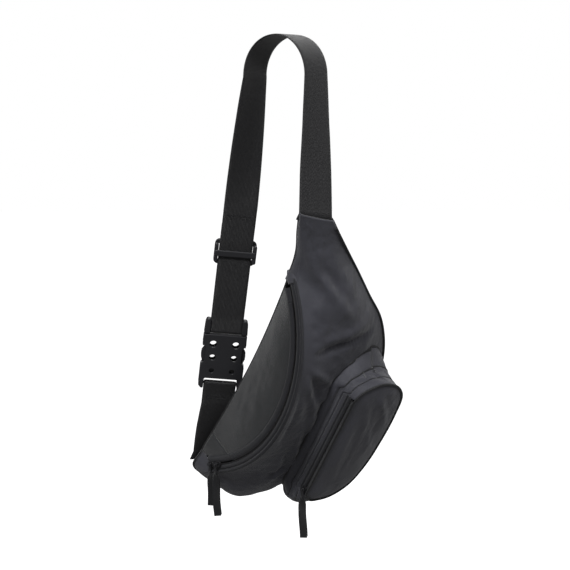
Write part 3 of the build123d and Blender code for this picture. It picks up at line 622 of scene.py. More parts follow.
# ---------------------------------------------------------------- fabric body: sections
# ALONG, the ACROSS of the back's top edge, then (ACROSS, OUT) of the ridge beside the zip, of the middle and
# the lower part of the front, and of the piping. The ridge of the zipped part follows the zip's own arc.
LOWER_WING = [
    (-240, -58, (-60, 5), (-70, 14), (-82, 14), (-94, 7)),
    (-230, -40, (-44, 11), (-62, 36), (-84, 38), (-106, 26)),
    (-212, -20, (-26, 16), (-52, 50), (-90, 56), (-126, 44)),
]
POUCH = [
    (-190, (-54, 60), (-101, 65.5), (-143, 54)),
    (-155, (-66, 68), (-122, 72), (-164, 58)),
    (-125, (-70, 73), (-130, 74), (-177, 57)),
    (-90, (-72, 76), (-134, 72), (-185, 54)),
    (-50, (-72, 76), (-134, 70), (-186, 50)),
    (-10, (-70, 73), (-130, 67), (-181, 45)),
    (20, (-66, 68), (-122, 64), (-170, 40)),
    (50, (-60, 60), (-110, 58), (-152, 34)),
    (80, (-50, 48), (-92, 50), (-124, 27)),
]
UPPER_WING = [
    (104, -21, (-23, 9), (-47, 34), (-80, 36), (-104, 16)),
    (128, -17, (-19, 8), (-34, 20), (-60, 22), (-82, 10)),
    (150, -9, (-11, 6), (-22, 10), (-42, 11), (-62, 6)),
    (176, 0, (-1, 3), (-12, 4), (-26, 4), (-38, 3)),
]


def pouch_outline(along, middle, lower, piping):
    rise = float(rise_at(along, ZIP_RADIUS + RIDGE_REACH))
    ridge = (HINGE_LINE - rise * sin(tilt), rise * cos(tilt))
    return (along, HINGE_LINE, ridge, middle, lower, piping)


STATIONS = LOWER_WING + [pouch_outline(*station) for station in POUCH] + UPPER_WING
STATION_ALONG = np.array([station[0] for station in STATIONS], float)
STATION_CORNERS = np.array([((station[1], 0), *station[2:]) for station in STATIONS], float)


SEAM_TWIST = radians(-20.0)  # the loaded webbing turns the tip of the upper wing by this much


def seam_twist(along, across, out):
    """ACROSS and OUT of points of the upper wing, turned about its own middle towards the seam."""
    part = np.clip((np.asarray(along, float) - 104) / (UPPER_REACH - 104), 0, 1)
    turn = SEAM_TWIST * part * part * (3 - 2 * part)
    middle = -WEBBING_WIDTH / 2 - 30 * (1 - part)
    sideways = across - middle
    return middle + sideways * np.cos(turn) - out * np.sin(turn), out * np.cos(turn) + sideways * np.sin(turn)


def body_corners(along):
    """The five outline corners at each station along the bag."""
    return smooth_between(STATION_ALONG, STATION_CORNERS, along)


def back_sag(along):
    """How far the worn-top edge sinks between the bag's two ends."""
    along = np.asarray(along, float)
    part = np.clip((along + 175) / 275, 0, 1)
    return 10.0 * np.sin(pi * part) ** 0.9


def front_skin(alongs, columns):
    """Points of the front from the piping up to the ridge, with each point's ALONG and ACROSS."""
    rows = []
    for corners in body_corners(alongs):
        run = run_lengths(corners[1:])
        rows.append(smooth_between(run / run[-1], corners[1:], np.linspace(1, 0, columns)))
    rows = np.array(rows)
    along = np.repeat(alongs[:, None], columns, axis=1)
    return bag_points(along, rows[..., 0], rows[..., 1]), along, rows[..., 0]


SHELL_CLOTH = 0.9           # thickness of the front, the lid and the pocket's face
SIDE_CLOTH = 0.8            # thickness of the gussets and end caps
BACK_CLOTH = 2.2
LINING_CLOTH = 0.6
FOLD_CLOTH = 0.7
BAND_CLOTH = 0.6
LOWER_TIP = -239.5

# ---------------------------------------------------------------- fabric body: front
# Folds of the front as (route of ALONG and ACROSS, width, height, furrow's share beside the ridge); a fold of
# negative height is a furrow.
FRONT_CREASES = [
    ([(30, -34), (31, -56), (38, -84), (42, -112), (45, -150)], 5.0, -5.0, 0.0),
    ([(10, -28), (-14, -37), (-39, -43), (-60, -47), (-80, -49), (-112, -46)], 5.0, -4.0, 0.0),
    ([(44, -40), (46, -66), (55, -96), (60, -130)], 8.0, 2.6, 0.0),
    ([(20, -38), (6, -56), (-8, -78), (-16, -92)], 5.0, 3.6, 0.0),
    ([(16, -34), (-10, -50), (-36, -68), (-60, -80)], 5.0, 3.0, 0.7),
    ([(128, -20), (114, -36), (94, -54), (74, -64)], 6.0, 2.4, 0.6),
    ([(120, -32), (104, -50), (84, -72), (66, -92)], 6.0, 2.2, 0.7),
    ([(105, 2), (76, -10), (52, -20), (36, -30)], 4.0, 1.8, 0.6),
    ([(162, -8), (140, -18), (118, -28)], 5.0, 1.6, 0.6),
    ([(-120, -64), (-150, -76), (-182, -80)], 5.0, 2.6, 0.6),
    ([(-176, -74), (-164, -84), (-154, -94)], 4.0, 2.4, 0.9),
    ([(-80, -74), (-118, -84), (-150, -92)], 5.0, 2.4, 0.6),
    ([(-30, -70), (-60, -82), (-96, -88)], 6.0, 2.0, 0.6),
]
FRONT_ROWS = 236
FRONT_COLUMNS = 84


def make_front():
    grid, along, across = front_skin(np.linspace(LOWER_TIP, UPPER_REACH, FRONT_ROWS), FRONT_COLUMNS)
    position = np.linspace(0, 1, FRONT_COLUMNS)[None]
    held = fade(position, 0.16) * fade(np.linspace(0, 1, FRONT_ROWS)[:, None], 0.03)
    relief = 1.9 * ripples(along, across, (46, 30), 3.0) + 0.8 * ripples(along, across, (17, 26), 11.0)
    for route, width, height, lopsided in FRONT_CREASES:
        relief += crease(along, across, route, width, height, lopsided)
    grid = grid + grid_normals(grid) * (relief * held)[..., None]
    return grid


front_grid = make_front()
front_cloth = add_piece("front_cloth", sheet_mesh(front_grid, SHELL_CLOTH), SHELL, "bag")
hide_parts("front_panel", "upper_wing", "lower_wing")


# ---------------------------------------------------------------- fabric body: caps, gusset, back, bindings
def make_cap(name, alongs):
    """Narrow piece of shell fabric between the back's top edge and the ridge."""
    corners = body_corners(alongs)
    part = np.linspace(0, 1, 10)[:, None]
    across = corners[None, :, 0, 0] * (1 - part) + corners[None, :, 1, 0] * part
    out = -2.5 * (1 - part) + corners[None, :, 1, 1] * part
    along = np.repeat(alongs[None], 10, axis=0)
    puff = 0.9 * np.sin(pi * part) + 0.5 * ripples(along, out, (22, 14), 5.0) * np.sin(pi * part)
    grid = bag_points(along, across + puff, out)
    return add_piece(name, sheet_mesh(grid, SIDE_CLOTH), SHELL, "bag")


make_cap("upper_cap_cloth", np.linspace(85, UPPER_REACH, 60))
make_cap("lower_cap_cloth", np.linspace(LOWER_TIP, -186, 44))

gusset_along = np.linspace(-239.2, UPPER_REACH, 150)
gusset_corners = body_corners(gusset_along)
gusset_part = np.linspace(0, 1, 22)[None]
gusset_out = -3 * (1 - gusset_part) + gusset_corners[:, 4, 1][:, None] * gusset_part
gusset_ripple = ripples(gusset_along[:, None], gusset_out, (30, 22), 17.0)
gusset_puff = (2.2 + 1.6 * gusset_ripple) * np.sin(pi * gusset_part)
gusset_grid = bag_points(gusset_along[:, None], gusset_corners[:, 4, 0][:, None] - gusset_puff, gusset_out)
gusset_cloth = add_piece("gusset_cloth", sheet_mesh(gusset_grid, SIDE_CLOTH), SHELL, "bag")
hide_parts("bottom_gusset")


def back_edges(along):
    """ACROSS of the back panel's two long edges."""
    corners = body_corners(along)
    return corners[:, 0, 0] - back_sag(along), corners[:, 4, 0]


BACK_ROWS = 170
BACK_COLUMNS = 60
back_along = np.linspace(-239, 175, BACK_ROWS)
back_top, back_low = back_edges(back_along)
back_part = np.linspace(0, 1, BACK_COLUMNS)[None]
back_across = back_top[:, None] * (1 - back_part) + back_low[:, None] * back_part
back_round = fade(back_part, 0.09) * fade(np.linspace(0, 1, BACK_ROWS)[:, None], 0.035)
back_channel = np.exp(-(((back_part - 0.34) / 0.016) ** 2)) + np.exp(-(((back_part - 0.67) / 0.016) ** 2))
back_ripple = ripples(back_along[:, None], back_across, (40, 40), 23.0)
back_swell = back_round * (6.2 - 2.4 * back_channel + 0.5 * back_ripple)
back_grid = bag_points(back_along[:, None], back_across, -0.6 - back_swell)
back_pad = add_piece("back_pad", sheet_mesh(back_grid, BACK_CLOTH), BACK, "bag")
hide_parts("back_panel", "back_foam_pad")

lining_grid = bag_points(back_along[:, None], back_across, 1.4 + 0 * back_swell)[:, ::-1]
add_piece("back_lining", sheet_mesh(lining_grid, LINING_CLOTH), LINING, "bag")


def edge_route(side, inset, out, low, high, count):
    along = np.linspace(low, high, count)
    edges = back_edges(along)
    across = edges[side] + (-inset if side == 0 else inset)
    return bag_points(along, across, out)


worn_top_edge = edge_route(0, 0.5, -1.0, -239, 175, 150)
bottom_edge = edge_route(1, 0, -1.5, -239, 175, 150)
back_ring = np.concatenate((worn_top_edge, bottom_edge[::-1]))
back_ring = np.concatenate((back_ring, back_ring[:1]))
back_ring_radius = np.concatenate((np.full(150, 1.2), np.full(151, 1.9)))
back_cord = tube_mesh(back_ring, back_ring_radius, 10)
back_binding = add_piece("back_binding_cord", back_cord, BINDING, "bag")
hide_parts("back_binding")

piping_along = np.linspace(-232, 168, 190)
piping_corner = body_corners(piping_along)[:, 4]
piping_path = bag_points(piping_along, piping_corner[:, 0] - 0.9, piping_corner[:, 1] + 0.6)
piping_cord = tube_mesh(piping_path, 0.8 * PIPING_RADIUS, 12)
main_piping = add_piece("main_piping_cord", piping_cord, BINDING, "bag")
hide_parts("main_piping")


# ---------------------------------------------------------------- lid
def lid_grid(low, high, root, rows, columns, sags):
    station = np.linspace(low, high, columns)[None]
    edge = np.maximum(rise_at(station, ZIP_RADIUS - 9.3), root + 0.8)
    part = np.linspace(0, 1, rows)[:, None]
    rise = root + (edge - root) * part
    across = np.linspace(0, 1, columns)[None]
    inside = fade(across, 0.3) if sags else np.zeros_like(across)
    swell = inside * np.sin(pi * part) * (4.2 + 1.3 * ripples(station, rise, (60, 40), 31.0))
    sag = back_sag(station) * (1 - part) ** 1.5
    return lid_points(station, rise, swell - sag)


lid_cloth = add_piece(
    "lid_cloth", sheet_mesh(lid_grid(FLAP_LOW, FLAP_HIGH, 0.2, 46, 150, True), SHELL_CLOTH),
    LID, None,
)
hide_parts("lid_panel")
hinge_start, hinge_end = (tuple(lid_points(-40, rise, -1.0) * MM) for rise in (1.0, 11.0))
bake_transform(lid_cloth)
FLAP_GAP = 0.15             # between the folding lid and each of its fixed ends
for name, low, high in (
    ("lid_end_low", LID_LOW, FLAP_LOW - FLAP_GAP), ("lid_end_high", FLAP_HIGH + FLAP_GAP, LID_HIGH),
):
    end_sheet = sheet_mesh(lid_grid(low, high, 0.2, 20, 16, False), SHELL_CLOTH)
    lid_end = add_piece(name, end_sheet, LID, "bag")
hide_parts("lid_hem")


# ---------------------------------------------------------------- zips
# Sections of the bands beside the coil, as (distance from the zip's middle, height off the tape).
FRONT_BAND = [
    (11.4, -0.4), (11.0, 0.9), (10.2, 1.8), (9.2, 2.3), (8.2, 2.0), (7.4, 1.0), (6.9, 0.25),
    (6.4, 0.9), (5.4, 1.5), (4.0, 1.7), (2.8, 1.5), (1.9, 0.9), (1.5, 0.2), (1.4, -0.4),
]
LID_BAND = [
    (-1.4, -0.4), (-1.5, 0.2), (-1.9, 0.9), (-2.8, 1.6), (-4.4, 2.1), (-6.2, 2.2), (-7.6, 1.9), (-8.7, 1.2),
    (-9.4, 0.3), (-9.9, -0.3),
]


def band_mesh(profile, places, starts):
    """Sweep a band's section along a zip; places gives points from start, distance and height."""
    section = smooth_path(profile, 3 * len(profile))
    return sheet_mesh(places(starts[:, None], section[None, :, 0], section[None, :, 1]), BAND_CLOTH)


def coil_mesh(places, starts, side):
    """Teeth of one half of a nylon coil: short rounded loops that reach just past the zip's middle."""
    turns = np.linspace(0, 2 * pi, 7)[:-1]
    shape = [(0.0, 0.0), (0.15, 0.8), (0.5, 1.0), (0.85, 0.8), (1.0, 0.0)]
    middle = places(starts, side * 0.15, 0.75)
    inner = places(starts, side * 1.9, 0.75)
    ahead = unit_rows(np.gradient(middle, axis=0))
    over = inner - middle
    lift = unit_rows(np.cross(ahead, over))
    rings = []
    for part, fat in shape:
        for turn in turns:
            offset = 0.42 * fat * cos(turn) * ahead + 0.62 * fat * sin(turn) * lift
            rings.append(middle + over * part + offset)
    vertices = np.stack(rings, axis=1).reshape(-1, 3)
    faces = []
    count = len(turns) * len(shape)
    for tooth in range(len(starts)):
        for ring in range(len(shape) - 1):
            for turn in range(len(turns)):
                after = (turn + 1) % len(turns)
                row = tooth * count + ring * len(turns)
                faces.append((row + turn, row + after, row + len(turns) + after, row + len(turns) + turn))
    return mesh_of(vertices, faces, vertices[:, :2])


cover_angle = np.linspace(ZIP_HIGH_ANGLE - 1.4, ZIP_HIGH_ANGLE + 3.6, 14)[:, None]
cover_side = np.linspace(1, -1, 26)[None]
cover_end = np.clip((cover_angle - ZIP_HIGH_ANGLE) / 3.6, 0, 1)
cover_rise = 2.7 * (1 - np.abs(cover_side) ** 4) - 3.4 * cover_end**1.5
add_piece(
    "main_zip_top_cover", sheet_mesh(zip_points(cover_angle, 4.5 + 7.5 * cover_side, cover_rise - 0.4), 0.8),
    SHELL, "bag",
)

COIL_PITCH = 1.5
COIL_STEP = degrees(COIL_PITCH / ZIP_RADIUS)
FLAP_ANGLE_GAP = 0.15       # degrees between the folding lid's zip and its fixed ends
low_flap = flap_angle(FLAP_LOW) + FLAP_ANGLE_GAP
high_flap = flap_angle(FLAP_HIGH) - FLAP_ANGLE_GAP

front_band = add_piece(
    "main_zip_front_band",
    band_mesh(FRONT_BAND, zip_points, np.linspace(ZIP_LOW_ANGLE, ZIP_HIGH_ANGLE, 190)),
    TAPE, "bag",
)
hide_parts("main_zip_tape_front", "front_zip_welt")
lid_band_mesh = band_mesh(LID_BAND, zip_points, np.linspace(low_flap, high_flap, 160))
lid_band = add_piece("main_zip_lid_band", lid_band_mesh, TAPE, "lid")
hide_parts("main_zip_tape_lid", "lid_zip_welt")
for name, low, high in (
    ("low", ZIP_LOW_ANGLE, low_flap - 0.1), ("high", high_flap + 0.1, ZIP_HIGH_ANGLE - 2.5),
):
    end_band_mesh = band_mesh(LID_BAND, zip_points, np.linspace(low, high, 24))
    end_band = add_piece("main_zip_end_" + name, end_band_mesh, TAPE, "bag")
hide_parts("main_zip_ends")

front_teeth = np.arange(ZIP_LOW_ANGLE + 0.6, ZIP_HIGH_ANGLE - 0.6, COIL_STEP)
front_coil = coil_mesh(zip_points, front_teeth, 1)
coil_front = add_piece("main_coil_front_teeth", front_coil, COIL, "bag")
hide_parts("main_zip_coil_front")
lid_teeth = np.arange(low_flap + 0.2, high_flap - 0.2, COIL_STEP) + COIL_STEP / 2
coil_lid = add_piece("main_coil_lid_teeth", coil_mesh(zip_points, lid_teeth, -1), COIL, "lid")
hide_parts("main_zip_coil_lid")

for name, offset, height, body in (("front", 6.9, 0.35, "bag"), ("lid", -7.0, 2.1, "lid")):
    low, high = (ZIP_LOW_ANGLE, ZIP_HIGH_ANGLE) if body == "bag" else (low_flap, high_flap)
    seam = zip_points(np.linspace(low, high, 200), offset, height)
    add_piece("main_zip_stitches_" + name, stitch_mesh(seam, LID_NORMAL), THREAD, body)

# ---------------------------------------------------------------- front pocket: outline and zip line
FACE_CORNERS = np.array([
    (-176, -112), (-165, -102), (-8, -96), (4, -103), (14, -124), (9, -150),
    (-10, -169), (-60, -175), (-120, -174), (-158, -164), (-176, -141),
], float)
EDGE_SLOPE = 6.0 / 157.0
BASE_CORNERS = np.array([
    (-203, -114), (-192, -102 - 27 * EDGE_SLOPE), (-8, -96), (7, -103), (24, -124), (22, -150),
    (0, -170), (-60, -175), (-122, -173), (-170, -163), (-198, -141),
], float)
CORNER_CUTS = np.array((7, 5, 7, 9, 14, 14, 16, 20, 20, 16, 14), float)
POCKET_SIDE = rounded_outline(FACE_CORNERS, CORNER_CUTS, 7, 16)
BASE_SIDE = rounded_outline(BASE_CORNERS, CORNER_CUTS, 7, 16)
edge_run = FACE_CORNERS[2] - FACE_CORNERS[1]
POCKET_TRAVEL = unit(ALONG * edge_run[0] + ACROSS * edge_run[1])
POCKET_NORMAL = np.cross(OUT, POCKET_TRAVEL)
POCKET_EDGE = bag_points(*FACE_CORNERS[1], 0.0)
EDGE_LENGTH = float(np.linalg.norm(edge_run))
WALL_TOP = 105.4
ZIP_ROOM = 93.6


def pocket_zip_points(distance, height, lift):
    distance, height, lift = np.broadcast_arrays(distance, height, lift)
    return (
        POCKET_EDGE
        + distance[..., None] * POCKET_TRAVEL
        + height[..., None] * OUT
        + lift[..., None] * POCKET_NORMAL
    )


front_tree = BVHTree.FromPolygons(
    [tuple(point) for point in front_grid.reshape(-1, 3)], grid_faces(FRONT_ROWS, FRONT_COLUMNS)
)


def base_heights():
    """Height above the back at which each side of the pocket meets the front."""
    high = bag_points(*POCKET_SIDE.T, POCKET_FACE)
    low = bag_points(*BASE_SIDE.T, POCKET_BASE)
    heights = []
    for start, end in zip(high, low):
        hit = front_tree.ray_cast(Vector(start), Vector(unit(end - start)), 90)[0]
        heights.append(46.0 if hit is None else float((np.array(hit) - BAG_ZERO).dot(OUT)))
    heights = np.array(heights)
    padded = np.concatenate((heights[-4:], heights, heights[:4]))
    return np.convolve(padded, np.ones(9) / 9, "valid")


# ---------------------------------------------------------------- front pocket: walls
def on_zip_side(outline):
    """1 beside the pocket's zip and 0 round the rest of its outline."""
    near = (outline[:, 1] > -105) & (outline[:, 0] > -164.5) & (outline[:, 0] < -9.5)
    return near.astype(float)


def zip_room(outline):
    """How far the wall is lowered for the zip, rising smoothly over a few millimetres at both ends."""
    low, high = FACE_CORNERS[1][0], FACE_CORNERS[2][0]
    inside = np.clip(np.minimum(outline[:, 0] - low, high - outline[:, 0]) / 6, 0, 1)
    return inside * inside * (3 - 2 * inside) * (outline[:, 1] > -106)


def closed(values):
    return np.concatenate((values, values[:1]))


POCKET_ROWS = 44
zip_side = closed(on_zip_side(POCKET_SIDE))
zip_nearness = np.convolve(np.pad(zip_side, 3, "wrap"), np.ones(7) / 7, "valid")
base_height = closed(base_heights())
wall_top = WALL_TOP + (ZIP_ROOM - WALL_TOP) * closed(zip_room(POCKET_SIDE))
wall_part = np.linspace(0, 1, POCKET_ROWS)[:, None]
wall_height = (base_height - 1.5) * (1 - wall_part) + wall_top * wall_part
mix = ((wall_height - POCKET_BASE) / (POCKET_FACE - POCKET_BASE))[..., None]
wall_outline = closed(BASE_SIDE)[None] * (1 - mix) + closed(POCKET_SIDE)[None] * mix
wall_plain = bag_points(wall_outline[..., 0], wall_outline[..., 1], wall_height)
upper_side = closed(np.exp(-(((POCKET_SIDE[:, 0] - 10) / 18) ** 2) - (((POCKET_SIDE[:, 1] + 138) / 30) ** 2)))
low_end = closed(np.exp(-(((POCKET_SIDE[:, 0] + 174) / 9) ** 2) - ((POCKET_SIDE[:, 1] + 112) / 22) ** 2))
flare = (1 - wall_part) ** 2.2 * (2.0 + 6.0 * zip_nearness) + 13.0 * low_end * np.sin(pi * wall_part) ** 0.7
band_groove = sum(
    np.exp(-(((wall_part - place) / 0.03) ** 2)) * (0.8 + beside_zip * zip_nearness)
    for place, beside_zip in ((0.42, 1.6), (0.72, 1.2))
)
band_swell = np.sin(pi * np.clip(wall_part / 0.5, 0, 1)) * 1.6
band_swell = band_swell + np.sin(pi * np.clip((wall_part - 0.54) / 0.46, 0, 1))
sink = 10.0 * upper_side * np.sin(pi * wall_part) ** 1.3
wall_ripple = ripples(wall_outline[..., 0], wall_height * 1.4 + wall_outline[..., 1], (26, 20), 41.0)
wall_relief = flare + band_swell - band_groove - sink
wall_relief = wall_relief + 1.3 * wall_ripple * np.sin(pi * wall_part) * (1 - 0.6 * zip_nearness)
wall_grid = wall_plain + grid_normals(wall_plain) * wall_relief[..., None]
wall_grid[:, -1] = wall_grid[:, 0]
pocket_walls = add_piece("pocket_walls", sheet_mesh(wall_grid, SIDE_CLOTH), SHELL, "bag")
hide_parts("pocket_gusset")

for name, row, radius in (("base", 1, 1.5), ("middle", 18, 1.0), ("upper", 31, 0.8)):
    add_piece("pocket_welt_" + name, tube_mesh(wall_grid[row], radius, 8), BINDING, "bag")


# ---------------------------------------------------------------- front pocket: face
def face_spine(outline):
    """The nearest point of the face's own middle line, so that the cloth has no pinched centre."""
    along = np.clip(outline[:, 0], -138, -24)
    return np.stack((along, -135 + 0 * along), axis=1)


FACE_COLUMNS = 40
FACE_SEAM = POCKET_FACE - 0.6    # height of the face's sewn rim
face_outline = closed(POCKET_SIDE)
face_part = np.linspace(0, 1, FACE_COLUMNS)[None, :, None]
spine = face_spine(face_outline)[:, None]
face_flat = spine + (face_outline[:, None] - spine) * face_part
rim = face_part[..., 0]
dome = 6.5 * (1 - rim**2.6)
face_relief = 1.1 * ripples(face_flat[..., 0], face_flat[..., 1], (42, 26), 53.0)
for route, width, height, lopsided in (
    ([(-4, -108), (-50, -128), (-96, -162)], 6, 2.0, 0.6),
    ([(-20, -104), (-80, -112), (-150, -122)], 7, 1.5, 0.5),
    ([(6, -120), (-30, -146), (-60, -166)], 5, 1.6, 0.5),
):
    face_relief += crease(face_flat[..., 0], face_flat[..., 1], route, width, height, lopsided)
# The relief fades out at the middle line, where the two halves meet.
settled = np.clip(rim / 0.2, 0, 1) ** 2
face_out = FACE_SEAM + dome + face_relief * (1 - rim**6) * settled
face_grid = bag_points(face_flat[..., 0], face_flat[..., 1], face_out)
face_grid[-1] = face_grid[0]
face_cloth = sheet_mesh(face_grid, SHELL_CLOTH, face_flat)
pocket_face = add_piece("pocket_face_cloth", face_cloth, SHELL, "pocket_front")
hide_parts("pocket_front_panel")
face_rim = bag_points(face_outline[:, 0], face_outline[:, 1], FACE_SEAM)
face_rim = face_rim + grid_normals(wall_plain)[-1] * 0.8
face_cord = tube_mesh(face_rim, 1.5, 10)
face_piping = add_piece("pocket_piping_cord", face_cord, BINDING, "pocket_front")
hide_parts("pocket_piping")

# The fabric along the face's lowest edge, put in with no body; the ends of its fold line are worked out below
# but not used.
fold_along = np.linspace(-146, -22, 50)[:, None]
fold_out = np.linspace(102.5, POCKET_FACE - 0.5, 10)[None]
fold_across = np.interp(fold_along, FACE_CORNERS[[9, 8, 7, 6], 0], FACE_CORNERS[[9, 8, 7, 6], 1]) - 1.0
fold_sheet = sheet_mesh(bag_points(fold_along, fold_across, fold_out), FOLD_CLOTH)
fold_cloth = add_piece("pocket_fold_cloth", fold_sheet, SHELL, None)
fold_start, fold_end = (tuple(bag_points(-85, -176.0, out) * MM) for out in (104.0, POCKET_FACE - 0.8))
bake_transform(fold_cloth)

# ---------------------------------------------------------------- front pocket: zip
GUSSET_BAND = [
    (-1.3, -0.5), (-1.5, 0.3), (-2.2, 0.8), (-3.6, 1.0), (-5.0, 0.7), (-5.7, 0.1), (-6.3, 0.7), (-7.4, 1.5),
    (-8.4, 1.1), (-8.9, -0.2),
]
FACE_BAND = [(5.2, -0.4), (4.9, 0.6), (4.0, 1.0), (2.8, 0.9), (2.0, 0.7), (1.5, 0.3), (1.3, -0.5)]


def pocket_zip_offsets(distance, offset, lift):
    return pocket_zip_points(distance, POCKET_ZIP_HEIGHT + offset, lift)


zip_run = np.linspace(1.5, EDGE_LENGTH - 1.5, 90)
gusset_band = add_piece(
    "pocket_zip_gusset_band", band_mesh(GUSSET_BAND, pocket_zip_offsets, zip_run), TAPE, "bag"
)
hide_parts("pocket_zip_tape_gusset")
face_band_mesh = band_mesh(FACE_BAND, pocket_zip_offsets, zip_run[1:-1])
face_band = add_piece("pocket_zip_face_band", face_band_mesh, TAPE, "pocket_front")
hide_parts("pocket_zip_tape_face")
pocket_teeth = np.arange(3.5, EDGE_LENGTH - 3.5, COIL_PITCH)


def pocket_coil_places(distance, offset, lift):
    return pocket_zip_points(distance, POCKET_ZIP_HEIGHT + offset, np.asarray(lift) - 0.65)


coil_low = add_piece(
    "pocket_coil_gusset_teeth", coil_mesh(pocket_coil_places, pocket_teeth, -1), COIL, "bag"
)
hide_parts("pocket_zip_coil_gusset")
face_teeth = coil_mesh(pocket_coil_places, pocket_teeth + COIL_PITCH / 2, 1)
coil_high = add_piece("pocket_coil_face_teeth", face_teeth, COIL, "pocket_front")
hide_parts("pocket_zip_coil_face")

# ---------------------------------------------------------------- strap: its line
LEFT_TOP = np.array((-BEND_RADIUS - WEBBING_THICK / 2, 0.0, 0.0))
RIGHT_TOP = -LEFT_TOP
RIGHT_END = bag_points(UPPER_REACH, -WEBBING_WIDTH / 2, -0.6)
RUN = unit(TAIL - KNEE)
RUN_START = KNEE - RUN * TWIST_END
LAYER_OFFSET = 1.0
GLIDE_REACH = 12.0          # where the webbing starts to bend towards the tri-glide's bar
PLUG_FLARE = 16.0           # where it parts to go round the plug's bar
SOCKET_FLARE = 14.0
DOUBLED_ABOVE = 34.0        # the doubled webbing ends this far above the tri-glide
GLIDE_TACK = 44.0
SOCKET_TACK = 18.0
TACK_ROWS = (-2.2, -1.1, 1.1, 2.2)
BAR_RADIUS = 1.5
BAR_LAYER = BAR_RADIUS + 0.2 + WEBBING_THICK / 2


def turned(angle, run):
    """Direction of the webbing's width, turned about the vertical and square to its run."""
    width = np.array((sin(radians(angle)), cos(radians(angle)), 0.0))
    return unit(width - run * width.dot(run))


run_width = turned(RUN_TURN, RUN)
run_face = np.cross(run_width, -RUN)


def on_run(distance, height=0.0):
    return RUN_START + RUN * distance + run_face * height


class WebbingRoute:
    """Centre line and width directions of a webbing, gathered stretch by stretch."""

    def __init__(self):
        self.centres = []
        self.widths = []

    def add(self, point, width):
        self.centres.append(np.asarray(point, float))
        self.widths.append(np.asarray(width, float))

    def line(self, end, width, steps):
        """Go straight to a point, turning the width evenly on the way."""
        start, first = self.centres[-1], self.widths[-1]
        for part in np.linspace(0, 1, steps + 1)[1:]:
            self.add(start + (end - start) * part, first + (width - first) * part)

    def round_bar(self, bar_at, start, end, steps=12):
        """Go round a bar of the left run; angles in degrees from down the run towards its front."""
        for turn in np.radians(np.linspace(start, end, steps)):
            centre = on_run(bar_at) + BAR_LAYER * (RUN * cos(turn) + run_face * sin(turn))
            self.add(centre, run_width)

    def relaxed(self, amount, seed):
        """The centre line with the slight unevenness of worn webbing."""
        centres = np.array(self.centres)
        run = run_lengths(centres)
        ahead = np.gradient(centres, axis=0)
        lift = unit_rows(np.cross(ahead, np.array(self.widths)))
        swell = np.array([noise.noise(Vector((distance / 38, seed, 0.0))) for distance in run])
        return centres + lift * (swell * amount)[:, None]


strap = WebbingRoute()
seam_width = -ACROSS * cos(SEAM_TWIST) - OUT * sin(SEAM_TWIST)
strap.add(bag_points(166, -WEBBING_WIDTH / 2, 1.2), seam_width)
strap.line(RIGHT_END, seam_width, 4)
right_run = unit(RIGHT_END - RIGHT_TOP)
strap.line(RIGHT_TOP + (RIGHT_END - RIGHT_TOP) * 0.7, turned(22, right_run), 14)
strap.line(RIGHT_TOP + (RIGHT_END - RIGHT_TOP) * 0.35, turned(9, right_run), 14)
strap.line(RIGHT_TOP, np.array((0.0, 1.0, 0.0)), 14)
for x, z in arc((0, 0), BEND_RADIUS + WEBBING_THICK / 2, 0, 180, 46)[1:]:
    strap.add((x, 0.0, z), (0.0, 1.0, 0.0))
for part in np.linspace(0, 1, 41)[1:]:
    place = LEFT_TOP + (KNEE - LEFT_TOP) * part + run_face * (LAYER_OFFSET * part)
    strap.add(place, turned(RUN_TURN * part, RUN))
strap.line(on_run(TRI_GLIDE_AT - GLIDE_REACH, LAYER_OFFSET), run_width, 12)
strap.line(on_run(TRI_GLIDE_AT, LAYER_OFFSET - 0.2), run_width, 6)
strap.line(on_run(TRI_GLIDE_AT + GLIDE_REACH, LAYER_OFFSET), run_width, 6)
strap.line(on_run(PLUG_LOOP_AT - PLUG_FLARE, LAYER_OFFSET), run_width, 18)
strap.line(on_run(PLUG_LOOP_AT, BAR_LAYER), run_width, 6)
strap.round_bar(PLUG_LOOP_AT, 90, -90)
strap.line(on_run(PLUG_LOOP_AT - PLUG_FLARE, -LAYER_OFFSET), run_width, 6)
strap.line(on_run(TRI_GLIDE_AT - DOUBLED_ABOVE, -LAYER_OFFSET), run_width, 30)
strap_piece = add_piece(
    "strap_webbing", ribbon_mesh(strap.relaxed(0.35, 2.0), strap.widths, WEBBING_WIDTH, WEBBING_THICK, 16),
    WEBBING, "bag",
)
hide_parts("strap_bend", "strap_right_run", "strap_left_run", "strap_plug_loop")

TAB_LENGTH = 26.0
TAB_SEAM_PLACE = bag_points(TAB_SEAM, TAB_MIDDLE, -BACK_THICK - 1.6)
tail = WebbingRoute()
tail.add(bag_points(TAB_SEAM - 14, TAB_MIDDLE, -BACK_THICK - 1.0), -ACROSS)
tail.line(TAB_SEAM_PLACE, -ACROSS, 5)
tab_start = on_run(SOCKET_BAR_AT + TAB_LENGTH)
halfway = (tab_start + TAB_SEAM_PLACE) / 2
tail.line(halfway + run_face * 0.6, turned(34, RUN), 8)
tail.line(tab_start + run_face * LAYER_OFFSET, run_width, 8)
tail.line(on_run(SOCKET_BAR_AT + SOCKET_FLARE, LAYER_OFFSET), run_width, 4)
tail.line(on_run(SOCKET_BAR_AT, BAR_LAYER), run_width, 5)
tail.round_bar(SOCKET_BAR_AT, 90, 270)
tail.line(on_run(SOCKET_BAR_AT + SOCKET_FLARE, -LAYER_OFFSET), run_width, 5)
tail.line(tab_start - run_face * LAYER_OFFSET, run_width, 4)
tail_piece = add_piece(
    "strap_tail_webbing", ribbon_mesh(tail.relaxed(0.2, 6.0), tail.widths, WEBBING_WIDTH, WEBBING_THICK, 16),
    WEBBING, "bag",
)
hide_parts("strap_socket_loop", "strap_lower_tab")


